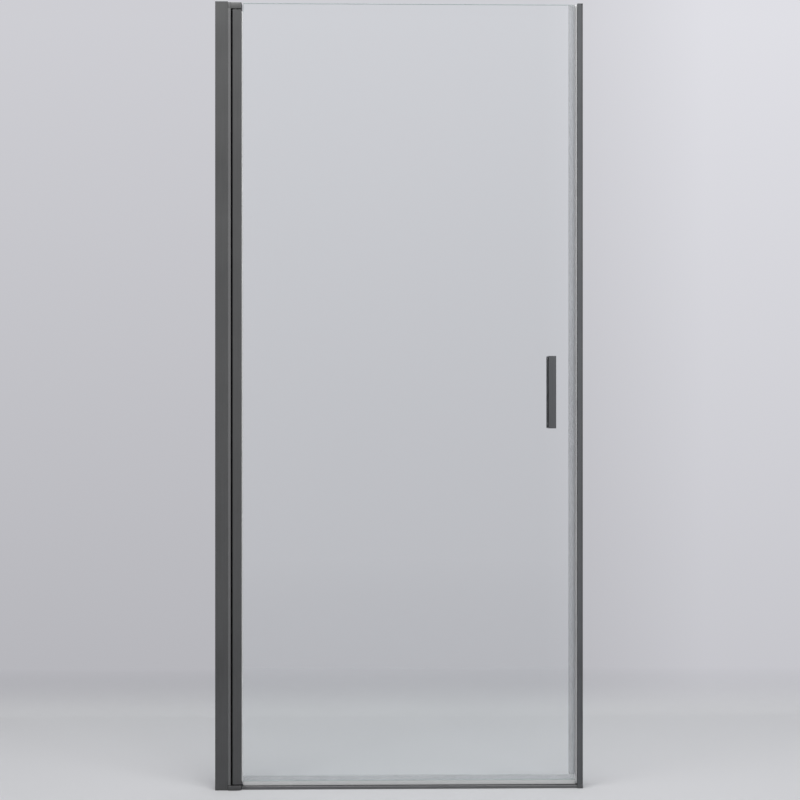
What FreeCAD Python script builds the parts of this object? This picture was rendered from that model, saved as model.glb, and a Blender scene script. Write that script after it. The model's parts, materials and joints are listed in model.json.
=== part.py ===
import FreeCAD, Part
import math
import os

# A pivot door for a shower niche. Two wall profiles and a low threshold make the frame. The glass leaf
# hangs in a stile that turns on one pin above and one pin below, and a magnetic strip closes it.
# X runs along the opening, from the hinge wall to the strike wall. Y runs from the room, which is
# negative, into the shower. Z is up. The origin is the middle of the opening, on the tray, in the
# middle of the glass. Lengths are in millimetres.

# Driving dimensions
OPENING_WIDTH = 888.0
FRAME_HEIGHT = 1900.0
GLASS_THICKNESS = 6.0
GLASS_RAISE = 18.0

# Clearances that several pieces share
SLIDE_CLEARANCE = 0.2
RUNNING_CLEARANCE = 0.05
SEAT_CLEARANCE = 0.02
LEAF_CLEARANCE = 0.3
OVERRUN = 1.0
ROUND_LIMIT_SHARE = 0.45

# Hinge wall channel
CHANNEL_DEPTH = 30.0
CHANNEL_REACH = 30.5
CHANNEL_WEB = 2.0
CHANNEL_FLANGE = 1.6
CHANNEL_EDGE_RADIUS = 0.6
WALL_HOLE_RADIUS = 3.0
WALL_HOLE_END = 100.0
WALL_HOLE_COUNT = 4
TOP_CAP_THICKNESS = 1.0
TOP_CAP_TONGUE = 6.0

# Machine screws
SCREW_SHANK_RADIUS = 2.0
SCREW_HEAD_RADIUS = 3.6
SCREW_HEAD_HEIGHT = 2.4
SCREW_EDGE_RADIUS = 0.5
SOCKET_RADIUS_SHARE = 0.5
SOCKET_DEPTH_SHARE = 0.6
SOCKET_SIDES = 6
SIDE_SCREW_END = 150.0
SIDE_SCREW_COUNT = 3
HEAD_CLEARANCE = 0.3

# Hinge post and its adjusting screws
POST_WIDTH = 27.0
POST_SHOW = 6.5
POST_WALL = 1.6
POST_EDGE_RADIUS = 1.0
PORT_WALL = 1.55
PORT_SETBACK = 13.5
PORT_SINK_SHARE = 0.25
ADJUST_SETBACK = 5.5
ADJUST_SLOT_TRAVEL = 7.6
ADJUST_SCREW_LENGTH = 10.0
ADJUST_CAP_RADIUS = 6.5
ADJUST_CAP_SKIN = 1.2
ADJUST_CAP_ROUND = 1.6

# Seal between the post and the stile
HINGE_GAP = 3.6
GAP_SEAL_SETBACK = 5.2
GAP_SEAL_NECK = 1.8
GAP_SEAL_ANCHOR_WIDTH = 4.4
GAP_SEAL_ANCHOR_DEPTH = 1.5
GAP_SEAL_FIN = 1.2

# Pivot brackets
TOP_BRACKET_HEIGHT = 15.0
TOP_BRACKET_CORNER = 2.0
BOTTOM_BRACKET_HEIGHT = 11.0
BOTTOM_BRACKET_DEPTH = 34.0
BOTTOM_BRACKET_TOE = 1.0
BOTTOM_BRACKET_CORNER = 8.0
BRACKET_SCREW_LENGTH = 22.0

# Pivot pins and bushes
PIVOT_SETBACK = 7.0
PIN_RADIUS = 3.0
PIN_FLOOR = 3.0
PIN_REACH = 14.0
PIN_TIP_RADIUS = 0.8
GRUB_RADIUS = 2.0
GRUB_LENGTH = 6.0
BUSH_WALL = 1.5
BUSH_LENGTH = 16.0
BUSH_FLANGE_THICKNESS = 1.2
BUSH_FLANGE_RIM = 1.85
WASHER_THICKNESS = 1.2

# Hinge stile
STILE_DEPTH = 24.0
STILE_WALL = 1.6
STILE_EDGE_RADIUS = 1.0
STILE_CORNER_RADIUS = 2.5
STILE_CAP_THICKNESS = 1.5
STILE_CAP_TONGUE = 8.0
STILE_TOP_GAP = 2.4
BORE_WALL = 1.4
GLASS_BITE = 8.2
GASKET_LEG = 1.5
GASKET_BASE = 1.0
GASKET_LIP = 2.5
GASKET_EDGE_RADIUS = 0.6

# Glass panel
NOTCH_MARGIN = 3.7
NOTCH_DROP = 0.5
NOTCH_RADIUS = 3.0
GLASS_CORNER_RADIUS = 2.0
GLASS_ARRIS = 0.5

# Threshold
THRESHOLD_HEIGHT = 7.2
THRESHOLD_DEPTH = 20.0
THRESHOLD_WALL = 1.6
THRESHOLD_EDGE_RADIUS = 1.2
END_CAP_WIDTH = 10.8
END_CAP_TONGUE = 12.0

# Drip seal under the glass
DRIP_START_GAP = 2.4
DRIP_LEG = 1.2
DRIP_CLIP = 13.0
DRIP_BASE = 1.5
DRIP_FIN = 1.0
DRIP_SWEEP = 5.0
DRIP_EDGE_RADIUS = 0.4

# Magnetic seals
MAGNET_THICKNESS = 2.0
MAGNET_WIDTH = 8.4
MAGNET_INSET = 2.0
SEAL_SKIN = 0.6
SEAL_BASE = 1.2
SEAL_LEG = 1.0
SEAL_GRIP = 11.9
SEAL_GAP = 0.5
SEAL_EDGE_RADIUS = 0.5
SEAL_NECK = 5.6
SEAL_ANCHOR_WIDTH = 9.0
SEAL_ANCHOR_DEPTH = 1.5

# Strike profiles
STRIKE_STANDOFF = 3.6
COVER_WIDTH = 9.6
COVER_DEPTH = 26.0
COVER_WALL = 1.6
COVER_CORNER_RADIUS = 1.2
COVER_EDGE_RADIUS = 0.5
COVER_SCREW_SETBACK = 4.4
COVER_SCREW_LENGTH = 6.0
RAIL_REACH = 10.7
RAIL_WEB = 2.0
RAIL_FLANGE = 1.6
RAIL_EDGE_RADIUS = 0.5
STRIKE_FOOT_HEIGHT = 9.5
STRIKE_TONGUE = 15.0

# Handles
HANDLE_LENGTH = 175.0
HANDLE_WIDTH = 18.0
HANDLE_REACH = 20.0
HANDLE_CENTRE_HEIGHT = 959.0
HANDLE_INSET = 53.7
HANDLE_BASE = 1.8
HANDLE_FRONT = 2.2
HANDLE_WEB = 4.0
HANDLE_END = 2.5
HANDLE_EDGE_RADIUS = 1.0
GROOVE_RADIUS = 3.0
LINER_THICKNESS = 1.0
LINER_SETBACK = 0.3
HANDLE_BOLT_END = 15.0
HANDLE_BOLT_OFFSET = 2.0
HANDLE_BOLT_RADIUS = 3.0
BOLT_HEAD_RADIUS = 5.0
BOLT_HEAD_HEIGHT = 4.0
BOLT_SEAT = 10.0
BOLT_THREAD = 11.0
PILLAR_WALL = 1.2
BOLT_CAP_THICKNESS = 2.5
HANDLE_GASKET = 0.8
HANDLE_GASKET_INSET = 1.0
SLEEVE_WALL = 3.0

# Places along X
hinge_wall = -OPENING_WIDTH / 2
strike_wall = OPENING_WIDTH / 2
channel_web_face = hinge_wall + CHANNEL_WEB
channel_end = hinge_wall + CHANNEL_REACH
post_end = channel_end + POST_SHOW
post_start = post_end - POST_WIDTH
port_x = post_end - PORT_SETBACK
adjust_x = post_start + ADJUST_SETBACK
stile_start = post_end + HINGE_GAP
pivot_x = stile_start + PIVOT_SETBACK
bush_bore = PIN_RADIUS + RUNNING_CLEARANCE
bush_radius = bush_bore + BUSH_WALL
bush_flange_radius = bush_radius + BUSH_FLANGE_RIM
stile_bore = bush_radius + SEAT_CLEARANCE
slot_start = pivot_x + stile_bore + BORE_WALL
glass_start = slot_start + GASKET_BASE
stile_end = glass_start + GLASS_BITE
lip_end = stile_end + GASKET_LIP
notch_x = stile_end + NOTCH_MARGIN
bottom_bracket_start = channel_end + SLIDE_CLEARANCE
bottom_bracket_end = stile_end + BOTTOM_BRACKET_TOE
threshold_start = bottom_bracket_end + END_CAP_WIDTH
drip_start = bottom_bracket_end + DRIP_START_GAP
cover_end = strike_wall - STRIKE_STANDOFF
cover_start = cover_end - COVER_WIDTH
cover_screw_x = cover_end - COVER_SCREW_SETBACK
rail_start = strike_wall - RAIL_REACH
rail_web_face = strike_wall - RAIL_WEB
magnet_room = MAGNET_THICKNESS + 2 * RUNNING_CLEARANCE
seal_box = magnet_room + 2 * SEAL_SKIN
strike_seal_face = cover_start - seal_box
door_seal_face = strike_seal_face - SEAL_GAP
glass_end = door_seal_face - seal_box - SEAL_BASE
anchor_end = cover_start + COVER_WALL + SLIDE_CLEARANCE + SEAL_ANCHOR_DEPTH
key_end = anchor_end + SLIDE_CLEARANCE + COVER_WALL
handle_x = glass_end - HANDLE_INSET
handle_left = handle_x - HANDLE_WIDTH / 2
handle_right = handle_x + HANDLE_WIDTH / 2
bolt_x = handle_x + HANDLE_BOLT_OFFSET

# Places along Y
channel_half = CHANNEL_DEPTH / 2
channel_room = channel_half - CHANNEL_FLANGE
post_half = channel_room - SLIDE_CLEARANCE
post_room = post_half - POST_WALL
screw_hole = SCREW_SHANK_RADIUS + RUNNING_CLEARANCE
head_recess_radius = SCREW_HEAD_RADIUS + HEAD_CLEARANCE
head_recess_depth = SCREW_HEAD_HEIGHT + HEAD_CLEARANCE
port_radius = screw_hole + PORT_WALL
port_y = post_room - port_radius + POST_WALL * PORT_SINK_SHARE
gap_seal_y = post_half - GAP_SEAL_SETBACK
stile_half = STILE_DEPTH / 2
pivot_y = PIVOT_SETBACK - stile_half
glass_half = GLASS_THICKNESS / 2
slot_half = glass_half + GASKET_LEG
bottom_bracket_half = BOTTOM_BRACKET_DEPTH / 2
threshold_half = THRESHOLD_DEPTH / 2
drip_half = glass_half + DRIP_LEG
magnet_half = MAGNET_WIDTH / 2
magnet_room_half = magnet_half + RUNNING_CLEARANCE
seal_half = magnet_room_half + SEAL_SKIN
seal_leg_half = glass_half + SEAL_LEG
cover_half = COVER_DEPTH / 2
cover_room = cover_half - COVER_WALL
rail_half = cover_room - SLIDE_CLEARANCE
rail_room = rail_half - RAIL_FLANGE
key_slot_half = SEAL_NECK / 2 + SLIDE_CLEARANCE
key_room_half = SEAL_ANCHOR_WIDTH / 2 + SLIDE_CLEARANCE
key_half = key_room_half + COVER_WALL
handle_back = glass_half + HANDLE_GASKET
handle_front = handle_back + HANDLE_REACH
groove_back = handle_back + HANDLE_BASE
groove_front = handle_front - HANDLE_FRONT
bolt_hole = HANDLE_BOLT_RADIUS + RUNNING_CLEARANCE
bolt_seat = handle_back + BOLT_SEAT
bolt_head_room = BOLT_HEAD_RADIUS + HEAD_CLEARANCE
pillar_radius = bolt_head_room + PILLAR_WALL
sleeve_radius = bolt_hole + SLEEVE_WALL
glass_hole = sleeve_radius + RUNNING_CLEARANCE

# Places along Z
washer_top = BOTTOM_BRACKET_HEIGHT + WASHER_THICKNESS
stile_cap_bottom = washer_top + BUSH_FLANGE_THICKNESS
stile_bottom = stile_cap_bottom + STILE_CAP_THICKNESS
frame_cap_bottom = FRAME_HEIGHT - TOP_CAP_THICKNESS
top_bracket_bottom = frame_cap_bottom - TOP_BRACKET_HEIGHT
stile_cap_top = top_bracket_bottom - STILE_TOP_GAP
stile_top = stile_cap_top - STILE_CAP_THICKNESS
notch_z = stile_top - NOTCH_DROP
drip_top = GLASS_RAISE + DRIP_CLIP
drip_base_bottom = GLASS_RAISE - DRIP_BASE
drip_tip = THRESHOLD_HEIGHT + LEAF_CLEARANCE
door_seal_bottom = drip_top + LEAF_CLEARANCE
strike_seal_bottom = STRIKE_FOOT_HEIGHT + LEAF_CLEARANCE
handle_bottom = HANDLE_CENTRE_HEIGHT - HANDLE_LENGTH / 2
handle_top = HANDLE_CENTRE_HEIGHT + HANDLE_LENGTH / 2
bolt_heights = [handle_bottom + HANDLE_BOLT_END, handle_top - HANDLE_BOLT_END]


def spread(first, last, count):
    """Evenly spaced places from first to last."""
    step = (last - first) / (count - 1)
    return [first + step * i for i in range(count)]


wall_hole_heights = spread(WALL_HOLE_END, FRAME_HEIGHT - WALL_HOLE_END, WALL_HOLE_COUNT)
side_screw_heights = spread(SIDE_SCREW_END, FRAME_HEIGHT - SIDE_SCREW_END, SIDE_SCREW_COUNT)


def at(axis, along, a, b):
    """The point at a distance along an axis, with a and b across it in X, Y, Z order."""
    points = {"x": (along, a, b), "y": (a, along, b), "z": (a, b, along)}
    return FreeCAD.Vector(*points[axis])


def rounded_face(points, radii):
    """The flat face inside a closed outline, with each corner rounded to its radius."""
    count = len(points)
    ends = []
    edges = []
    for i in range(count):
        corner = points[i]
        back = points[i - 1] - corner
        ahead = points[(i + 1) % count] - corner
        half_angle = back.getAngle(ahead) / 2
        limit = ROUND_LIMIT_SHARE * min(back.Length, ahead.Length) * math.tan(half_angle)
        radius = min(radii[i], limit)
        if radius == 0:
            ends.append((corner, corner))
            continue
        back.normalize()
        ahead.normalize()
        run = radius / math.tan(half_angle)
        inward = (back + ahead).normalize()
        middle = corner + inward * (radius / math.sin(half_angle) - radius)
        first = corner + back * run
        last = corner + ahead * run
        edges.append(Part.Arc(first, middle, last).toShape())
        ends.append((first, last))
    for i in range(count):
        edges.append(Part.makeLine(ends[i][1], ends[(i + 1) % count][0]))
    return Part.Face(Part.Wire(Part.__sortEdges__(edges)))


def radii_of(corners):
    """The rounding of each corner, which is its third value or nothing."""
    return [corner[2] if len(corner) > 2 else 0 for corner in corners]


def prism(axis, start, end, corners):
    """A section drawn along an axis. A corner is (a, b) or (a, b, radius)."""
    points = [at(axis, start, corner[0], corner[1]) for corner in corners]
    return rounded_face(points, radii_of(corners)).extrude(at(axis, end - start, 0, 0))


def turned(axis, a, b, corners):
    """A section turned about an axis through (a, b). A corner is (radius, along) or has a rounding too."""
    points = [at(axis, corner[1], a + corner[0], b) for corner in corners]
    return rounded_face(points, radii_of(corners)).revolve(at(axis, 0, a, b), at(axis, 1, 0, 0), 360)


def block(x0, x1, y0, y1, z0, z1):
    """A plain block between two opposite corners."""
    return Part.makeBox(x1 - x0, y1 - y0, z1 - z0, FreeCAD.Vector(x0, y0, z0))


def rod(axis, start, end, a, b, radius):
    """A round bar along an axis."""
    low = min(start, end)
    return Part.makeCylinder(radius, abs(end - start), at(axis, low, a, b), at(axis, 1, 0, 0))


def mirrored_in_y(corners):
    """The corners on the room side, followed by the same corners on the shower side."""
    return corners + [(corner[0], -corner[1]) + tuple(corner[2:]) for corner in reversed(corners)]


def screw(axis, seat, sign, a, b, length, shank, head, height):
    """A round-headed socket screw. Its head stands on seat and its shank runs on from there by sign."""
    top = seat - sign * height
    body = turned(axis, a, b, [
        (0, top),
        (head, top, SCREW_EDGE_RADIUS),
        (head, seat),
        (shank, seat),
        (shank, seat + sign * length, SCREW_EDGE_RADIUS),
        (0, seat + sign * length),
    ])
    reach = head * SOCKET_RADIUS_SHARE
    turns = [math.tau * i / SOCKET_SIDES for i in range(SOCKET_SIDES)]
    corners = [(a + reach * math.cos(turn), b + reach * math.sin(turn)) for turn in turns]
    return body.cut(prism(axis, top, top + sign * height * SOCKET_DEPTH_SHARE, corners))


def small_screw(axis, seat, sign, a, b, length):
    """One of the machine screws that hold the frame together."""
    return screw(axis, seat, sign, a, b, length, SCREW_SHANK_RADIUS, SCREW_HEAD_RADIUS, SCREW_HEAD_HEIGHT)


def wall_holes(start, end):
    """Drills for the row of wall screws, through the web of a wall profile."""
    return [rod("x", start - OVERRUN, end + OVERRUN, 0, z, WALL_HOLE_RADIUS) for z in wall_hole_heights]


# Hinge side of the frame

def hinge_wall_channel():
    section = mirrored_in_y([
        (hinge_wall, -channel_half),
        (channel_end, -channel_half, CHANNEL_EDGE_RADIUS),
        (channel_end, -channel_room, CHANNEL_EDGE_RADIUS),
        (channel_web_face, -channel_room),
    ])
    channel = prism("z", 0, FRAME_HEIGHT, section)
    slot_radius = SCREW_SHANK_RADIUS + SLIDE_CLEARANCE
    slot_ends = [adjust_x + side * ADJUST_SLOT_TRAVEL / 2 for side in (-1, 1)]
    inner = channel_room - OVERRUN
    outer = channel_half + OVERRUN
    cutters = wall_holes(hinge_wall, channel_web_face)
    for z in side_screw_heights:
        cutters.append(block(slot_ends[0], slot_ends[1], inner, outer, z - slot_radius, z + slot_radius))
        cutters += [rod("y", inner, outer, x, z, slot_radius) for x in slot_ends]
    return channel.cut(cutters)


def channel_top_cap():
    half = channel_room - SLIDE_CLEARANCE
    start = channel_web_face + SLIDE_CLEARANCE
    plate = block(start, channel_end, -half, half, frame_cap_bottom, FRAME_HEIGHT)
    tongue_end = post_start - SLIDE_CLEARANCE
    tongue = block(start, tongue_end, -half, half, frame_cap_bottom - TOP_CAP_TONGUE, frame_cap_bottom)
    return plate.fuse(tongue).removeSplitter()


def hinge_post():
    length = (BOTTOM_BRACKET_HEIGHT, top_bracket_bottom)
    outside = mirrored_in_y([
        (post_start, -post_half, POST_EDGE_RADIUS),
        (post_end, -post_half, POST_EDGE_RADIUS),
    ])
    inside = mirrored_in_y([
        (post_start + POST_WALL, -post_room),
        (post_end - POST_WALL, -post_room),
    ])
    post = prism("z", *length, outside).cut(prism("z", *length, inside))
    post = post.fuse([rod("z", *length, port_x, side * port_y, port_radius) for side in (-1, 1)])
    cutters = [rod("z", *length, port_x, side * port_y, screw_hole) for side in (-1, 1)]
    cutters += [rod("y", post_room - OVERRUN, post_half + OVERRUN, adjust_x, z, screw_hole)
                for z in side_screw_heights]
    slot_half_width = GAP_SEAL_NECK / 2 + RUNNING_CLEARANCE
    cutters.append(block(post_end - POST_WALL - OVERRUN, post_end + OVERRUN,
                         gap_seal_y - slot_half_width, gap_seal_y + slot_half_width, *length))
    return post.cut(cutters).removeSplitter()


def adjust_screws():
    return [small_screw("y", channel_half, -1, adjust_x, z, ADJUST_SCREW_LENGTH)
            for z in side_screw_heights]


def adjust_screw_caps():
    room_top = channel_half + head_recess_depth
    top = room_top + ADJUST_CAP_SKIN
    section = [
        (0, room_top),
        (head_recess_radius, room_top),
        (head_recess_radius, channel_half),
        (ADJUST_CAP_RADIUS, channel_half),
        (ADJUST_CAP_RADIUS, top, ADJUST_CAP_ROUND),
        (0, top),
    ]
    return [turned("y", adjust_x, z, section) for z in side_screw_heights]


def hinge_gap_seal():
    neck = GAP_SEAL_NECK / 2
    anchor = GAP_SEAL_ANCHOR_WIDTH / 2
    fin = GAP_SEAL_FIN / 2
    anchor_face = post_end - POST_WALL - RUNNING_CLEARANCE
    side = [
        (anchor_face - GAP_SEAL_ANCHOR_DEPTH, -anchor),
        (anchor_face, -anchor),
        (anchor_face, -neck),
        (post_end, -neck),
        (post_end, -fin),
        (stile_start - LEAF_CLEARANCE, -fin),
    ]
    section = [(x, y + gap_seal_y) for x, y in mirrored_in_y(side)]
    return prism("z", BOTTOM_BRACKET_HEIGHT, top_bracket_bottom, section)


# Pivots

def bracket_screw_cutters(face, sign):
    """Drills for the screws that hold a bracket to the post, with a recess for each head."""
    cutters = []
    for side in (-1, 1):
        y = side * port_y
        cutters.append(rod("z", face - sign * OVERRUN, face + sign * head_recess_depth,
                           port_x, y, head_recess_radius))
        cutters.append(rod("z", face, face + sign * BRACKET_SCREW_LENGTH, port_x, y, screw_hole))
    return cutters


def bracket_screws(face, sign):
    seat = face + sign * head_recess_depth
    return [small_screw("z", seat, sign, port_x, side * port_y, BRACKET_SCREW_LENGTH) for side in (-1, 1)]


def pin_cutters(low, high, grub_z, back):
    """The blind hole for a pivot pin, and the hole for the grub screw that holds it from behind."""
    hole = PIN_RADIUS + SEAT_CLEARANCE
    return [
        rod("z", low, high, pivot_x, pivot_y, hole),
        rod("y", pivot_y, back + OVERRUN, pivot_x, grub_z, GRUB_RADIUS + SEAT_CLEARANCE),
    ]


top_pin_top = frame_cap_bottom - PIN_FLOOR
top_grub_z = (top_bracket_bottom + top_pin_top) / 2
bottom_grub_z = (PIN_FLOOR + BOTTOM_BRACKET_HEIGHT) / 2


def top_pivot_bracket():
    section = mirrored_in_y([
        (post_start, -post_half),
        (post_end, -post_half, POST_EDGE_RADIUS),
        (post_end, -stile_half),
        (stile_end, -stile_half, TOP_BRACKET_CORNER),
    ])
    bracket = prism("z", top_bracket_bottom, frame_cap_bottom, section)
    cutters = bracket_screw_cutters(frame_cap_bottom, -1)
    cutters += pin_cutters(top_bracket_bottom - OVERRUN, top_pin_top, top_grub_z, stile_half)
    return bracket.cut(cutters)


def bottom_pivot_bracket():
    section = mirrored_in_y([
        (post_start, -post_half),
        (bottom_bracket_start, -post_half),
        (bottom_bracket_start, -bottom_bracket_half, POST_EDGE_RADIUS),
        (bottom_bracket_end, -bottom_bracket_half, BOTTOM_BRACKET_CORNER),
    ])
    bracket = prism("z", 0, BOTTOM_BRACKET_HEIGHT, section)
    cutters = bracket_screw_cutters(0, 1)
    cutters += pin_cutters(PIN_FLOOR, BOTTOM_BRACKET_HEIGHT + OVERRUN, bottom_grub_z, bottom_bracket_half)
    return bracket.cut(cutters)


def pivot_pin(seat, tip):
    return turned("z", pivot_x, pivot_y, [
        (0, seat),
        (PIN_RADIUS, seat),
        (PIN_RADIUS, tip, PIN_TIP_RADIUS),
        (0, tip),
    ])


def pin_grub_screws():
    start = pivot_y + PIN_RADIUS + SEAT_CLEARANCE
    end = start + GRUB_LENGTH
    reach = GRUB_RADIUS * SOCKET_RADIUS_SHARE
    turns = [math.tau * i / SOCKET_SIDES for i in range(SOCKET_SIDES)]
    screws = []
    for z in (bottom_grub_z, top_grub_z):
        corners = [(pivot_x + reach * math.cos(turn), z + reach * math.sin(turn)) for turn in turns]
        socket = prism("y", end - GRUB_RADIUS, end, corners)
        screws.append(rod("y", start, end, pivot_x, z, GRUB_RADIUS).cut(socket))
    return screws


def thrust_washer():
    washer = rod("z", BOTTOM_BRACKET_HEIGHT, washer_top, pivot_x, pivot_y, bush_flange_radius)
    return washer.cut(rod("z", BOTTOM_BRACKET_HEIGHT, washer_top, pivot_x, pivot_y, bush_bore))


def pivot_bush(seat, sign):
    """A flanged sleeve. Its flange stands on the stile's end cap at seat, and it runs inwards by sign."""
    flange = seat - sign * BUSH_FLANGE_THICKNESS
    end = seat + sign * BUSH_LENGTH
    return turned("z", pivot_x, pivot_y, [
        (bush_bore, flange),
        (bush_flange_radius, flange),
        (bush_flange_radius, seat),
        (bush_radius, seat),
        (bush_radius, end),
        (bush_bore, end),
    ])


# Glass leaf

def stile_outline():
    """The outside of the stile. Its rounded corner passes through the gap to the post as the leaf turns."""
    return [
        (stile_start, -stile_half, STILE_CORNER_RADIUS),
        (stile_end, -stile_half, STILE_EDGE_RADIUS),
        (stile_end, stile_half, STILE_EDGE_RADIUS),
        (stile_start, stile_half, STILE_EDGE_RADIUS),
    ]


def rear_chamber(low, high, inset):
    """The hollow behind the pivot bore, or a plug that fits it with an inset."""
    return block(stile_start + STILE_WALL + inset, slot_start - STILE_WALL - inset,
                 pivot_y + stile_bore + STILE_WALL + inset, stile_half - STILE_WALL - inset, low, high)


def hinge_stile():
    length = (stile_bottom, stile_top)
    stile = prism("z", *length, stile_outline())
    cutters = [
        block(slot_start, stile_end + OVERRUN, -slot_half, slot_half, *length),
        rod("z", *length, pivot_x, pivot_y, stile_bore),
        rear_chamber(*length, 0),
    ]
    chamber_x = (slot_start + STILE_WALL, stile_end - STILE_WALL)
    chamber_y = (slot_half + STILE_WALL, stile_half - STILE_WALL)
    cutters.append(block(*chamber_x, *chamber_y, *length))
    cutters.append(block(*chamber_x, -chamber_y[1], -chamber_y[0], *length))
    return stile.cut(cutters)


def stile_cap(low, high, tongue_low, tongue_high):
    """A plate that closes an end of the stile, with a plug in the hollow behind the pivot bore."""
    plate = prism("z", low, high, stile_outline())
    plate = plate.cut(rod("z", low, high, pivot_x, pivot_y, stile_bore))
    return plate.fuse(rear_chamber(tongue_low, tongue_high, SLIDE_CLEARANCE)).removeSplitter()


def glass_panel():
    section = [
        (glass_start, GLASS_RAISE, GLASS_CORNER_RADIUS),
        (glass_end, GLASS_RAISE, GLASS_CORNER_RADIUS),
        (glass_end, FRAME_HEIGHT, GLASS_CORNER_RADIUS),
        (notch_x, FRAME_HEIGHT, GLASS_CORNER_RADIUS),
        (notch_x, notch_z, NOTCH_RADIUS),
        (glass_start, notch_z, GLASS_CORNER_RADIUS),
    ]
    panel = prism("y", -glass_half, glass_half, section)
    rims = [edge for edge in panel.Edges
            if edge.BoundBox.YLength < GLASS_ARRIS]
    panel = panel.makeChamfer(GLASS_ARRIS, rims)
    return panel.cut([rod("y", -handle_back, handle_back, bolt_x, z, glass_hole) for z in bolt_heights])


def glazing_gasket():
    section = mirrored_in_y([
        (slot_start, -slot_half),
        (lip_end, -slot_half, GASKET_EDGE_RADIUS),
        (lip_end, -glass_half),
        (glass_start, -glass_half),
    ])
    return prism("z", GLASS_RAISE, notch_z, section)


def glass_setting_block():
    return block(slot_start, stile_end, -slot_half, slot_half, stile_bottom, GLASS_RAISE)


def drip_seal():
    length = (drip_start, door_seal_face)
    clip = prism("x", *length, [
        (-drip_half, drip_base_bottom),
        (drip_half, drip_base_bottom),
        (drip_half, drip_top, DRIP_EDGE_RADIUS),
        (glass_half, drip_top, DRIP_EDGE_RADIUS),
        (glass_half, GLASS_RAISE),
        (-glass_half, GLASS_RAISE),
        (-glass_half, drip_top, DRIP_EDGE_RADIUS),
        (-drip_half, drip_top, DRIP_EDGE_RADIUS),
    ])
    fins = []
    for root, sweep in ((-drip_half, 0), (-DRIP_FIN / 2, 0), (drip_half - DRIP_FIN, DRIP_SWEEP)):
        fins.append(prism("x", *length, [
            (root, drip_base_bottom),
            (root + DRIP_FIN, drip_base_bottom),
            (root + DRIP_FIN + sweep, drip_tip, DRIP_EDGE_RADIUS),
            (root + sweep, drip_tip, DRIP_EDGE_RADIUS),
        ]))
    return clip.fuse(fins).removeSplitter()


def magnet_cutter(face, low, high):
    """The room for a magnet behind the face of its seal."""
    start = face + SEAL_SKIN
    return block(start, start + magnet_room, -magnet_room_half, magnet_room_half, low, high)


def magnet_bar(face, low, high):
    """A magnet in the middle of its room, short of the seal's ends."""
    start = face + SEAL_SKIN + RUNNING_CLEARANCE
    return block(start, start + MAGNET_THICKNESS, -magnet_half, magnet_half,
                 low + MAGNET_INSET, high - MAGNET_INSET)


def door_magnet_seal():
    leg_start = glass_end - SEAL_GRIP
    section = mirrored_in_y([
        (glass_end, -glass_half),
        (leg_start, -glass_half),
        (leg_start, -seal_leg_half),
        (glass_end, -seal_leg_half),
        (glass_end, -seal_half, SEAL_EDGE_RADIUS),
        (door_seal_face, -seal_half, SEAL_EDGE_RADIUS),
    ])
    seal = prism("z", door_seal_bottom, FRAME_HEIGHT, section)
    return seal.cut(magnet_cutter(door_seal_face - seal_box, door_seal_bottom, FRAME_HEIGHT))


# Strike side of the frame

def strike_wall_rail():
    section = mirrored_in_y([
        (strike_wall, -rail_half),
        (rail_start, -rail_half, RAIL_EDGE_RADIUS),
        (rail_start, -rail_room, RAIL_EDGE_RADIUS),
        (rail_web_face, -rail_room),
    ])
    rail = prism("z", STRIKE_FOOT_HEIGHT, frame_cap_bottom, section)
    cutters = wall_holes(rail_web_face, strike_wall)
    cutters += [rod("y", rail_room - OVERRUN, rail_half + OVERRUN, cover_screw_x, z, screw_hole)
                for z in side_screw_heights]
    return rail.cut(cutters)


def strike_cover():
    length = (STRIKE_FOOT_HEIGHT, frame_cap_bottom)
    section = mirrored_in_y([
        (cover_start, -cover_half, COVER_CORNER_RADIUS),
        (cover_end, -cover_half, COVER_EDGE_RADIUS),
        (cover_end, -cover_room, COVER_EDGE_RADIUS),
        (cover_start + COVER_WALL, -cover_room),
    ])
    cover = prism("z", *length, section)
    cover = cover.fuse(block(cover_start + COVER_WALL / 2, key_end, -key_half, key_half, *length))
    key_room_start = cover_start + COVER_WALL
    cutters = [
        block(cover_start - OVERRUN, key_room_start, -key_slot_half, key_slot_half, *length),
        block(key_room_start, key_end - COVER_WALL, -key_room_half, key_room_half, *length),
    ]
    cutters += [rod("y", cover_room - OVERRUN, cover_half + OVERRUN, cover_screw_x, z, screw_hole)
                for z in side_screw_heights]
    return cover.cut(cutters).removeSplitter()


def strike_cover_screws():
    return [small_screw("y", cover_half, -1, cover_screw_x, z, COVER_SCREW_LENGTH)
            for z in side_screw_heights]


def strike_end(low, high, tongue_low, tongue_high):
    """A piece that closes an end of the strike cover, with a tongue inside the cover."""
    outline = [
        (cover_start, -cover_half, COVER_CORNER_RADIUS),
        (strike_wall, -cover_half),
        (strike_wall, cover_half),
        (cover_start, cover_half, COVER_CORNER_RADIUS),
    ]
    half = rail_room - SLIDE_CLEARANCE
    tongue = block(key_end + SLIDE_CLEARANCE, rail_web_face - SLIDE_CLEARANCE, -half, half,
                   tongue_low, tongue_high)
    return prism("z", low, high, outline).fuse(tongue).removeSplitter()


def strike_magnet_seal():
    neck_end = cover_start + COVER_WALL + SLIDE_CLEARANCE
    section = mirrored_in_y([
        (strike_seal_face, -seal_half, SEAL_EDGE_RADIUS),
        (cover_start, -seal_half, SEAL_EDGE_RADIUS),
        (cover_start, -SEAL_NECK / 2),
        (neck_end, -SEAL_NECK / 2),
        (neck_end, -SEAL_ANCHOR_WIDTH / 2),
        (anchor_end, -SEAL_ANCHOR_WIDTH / 2),
    ])
    seal = prism("z", strike_seal_bottom, frame_cap_bottom, section)
    return seal.cut(magnet_cutter(strike_seal_face, strike_seal_bottom, FRAME_HEIGHT))


# Threshold

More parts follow.
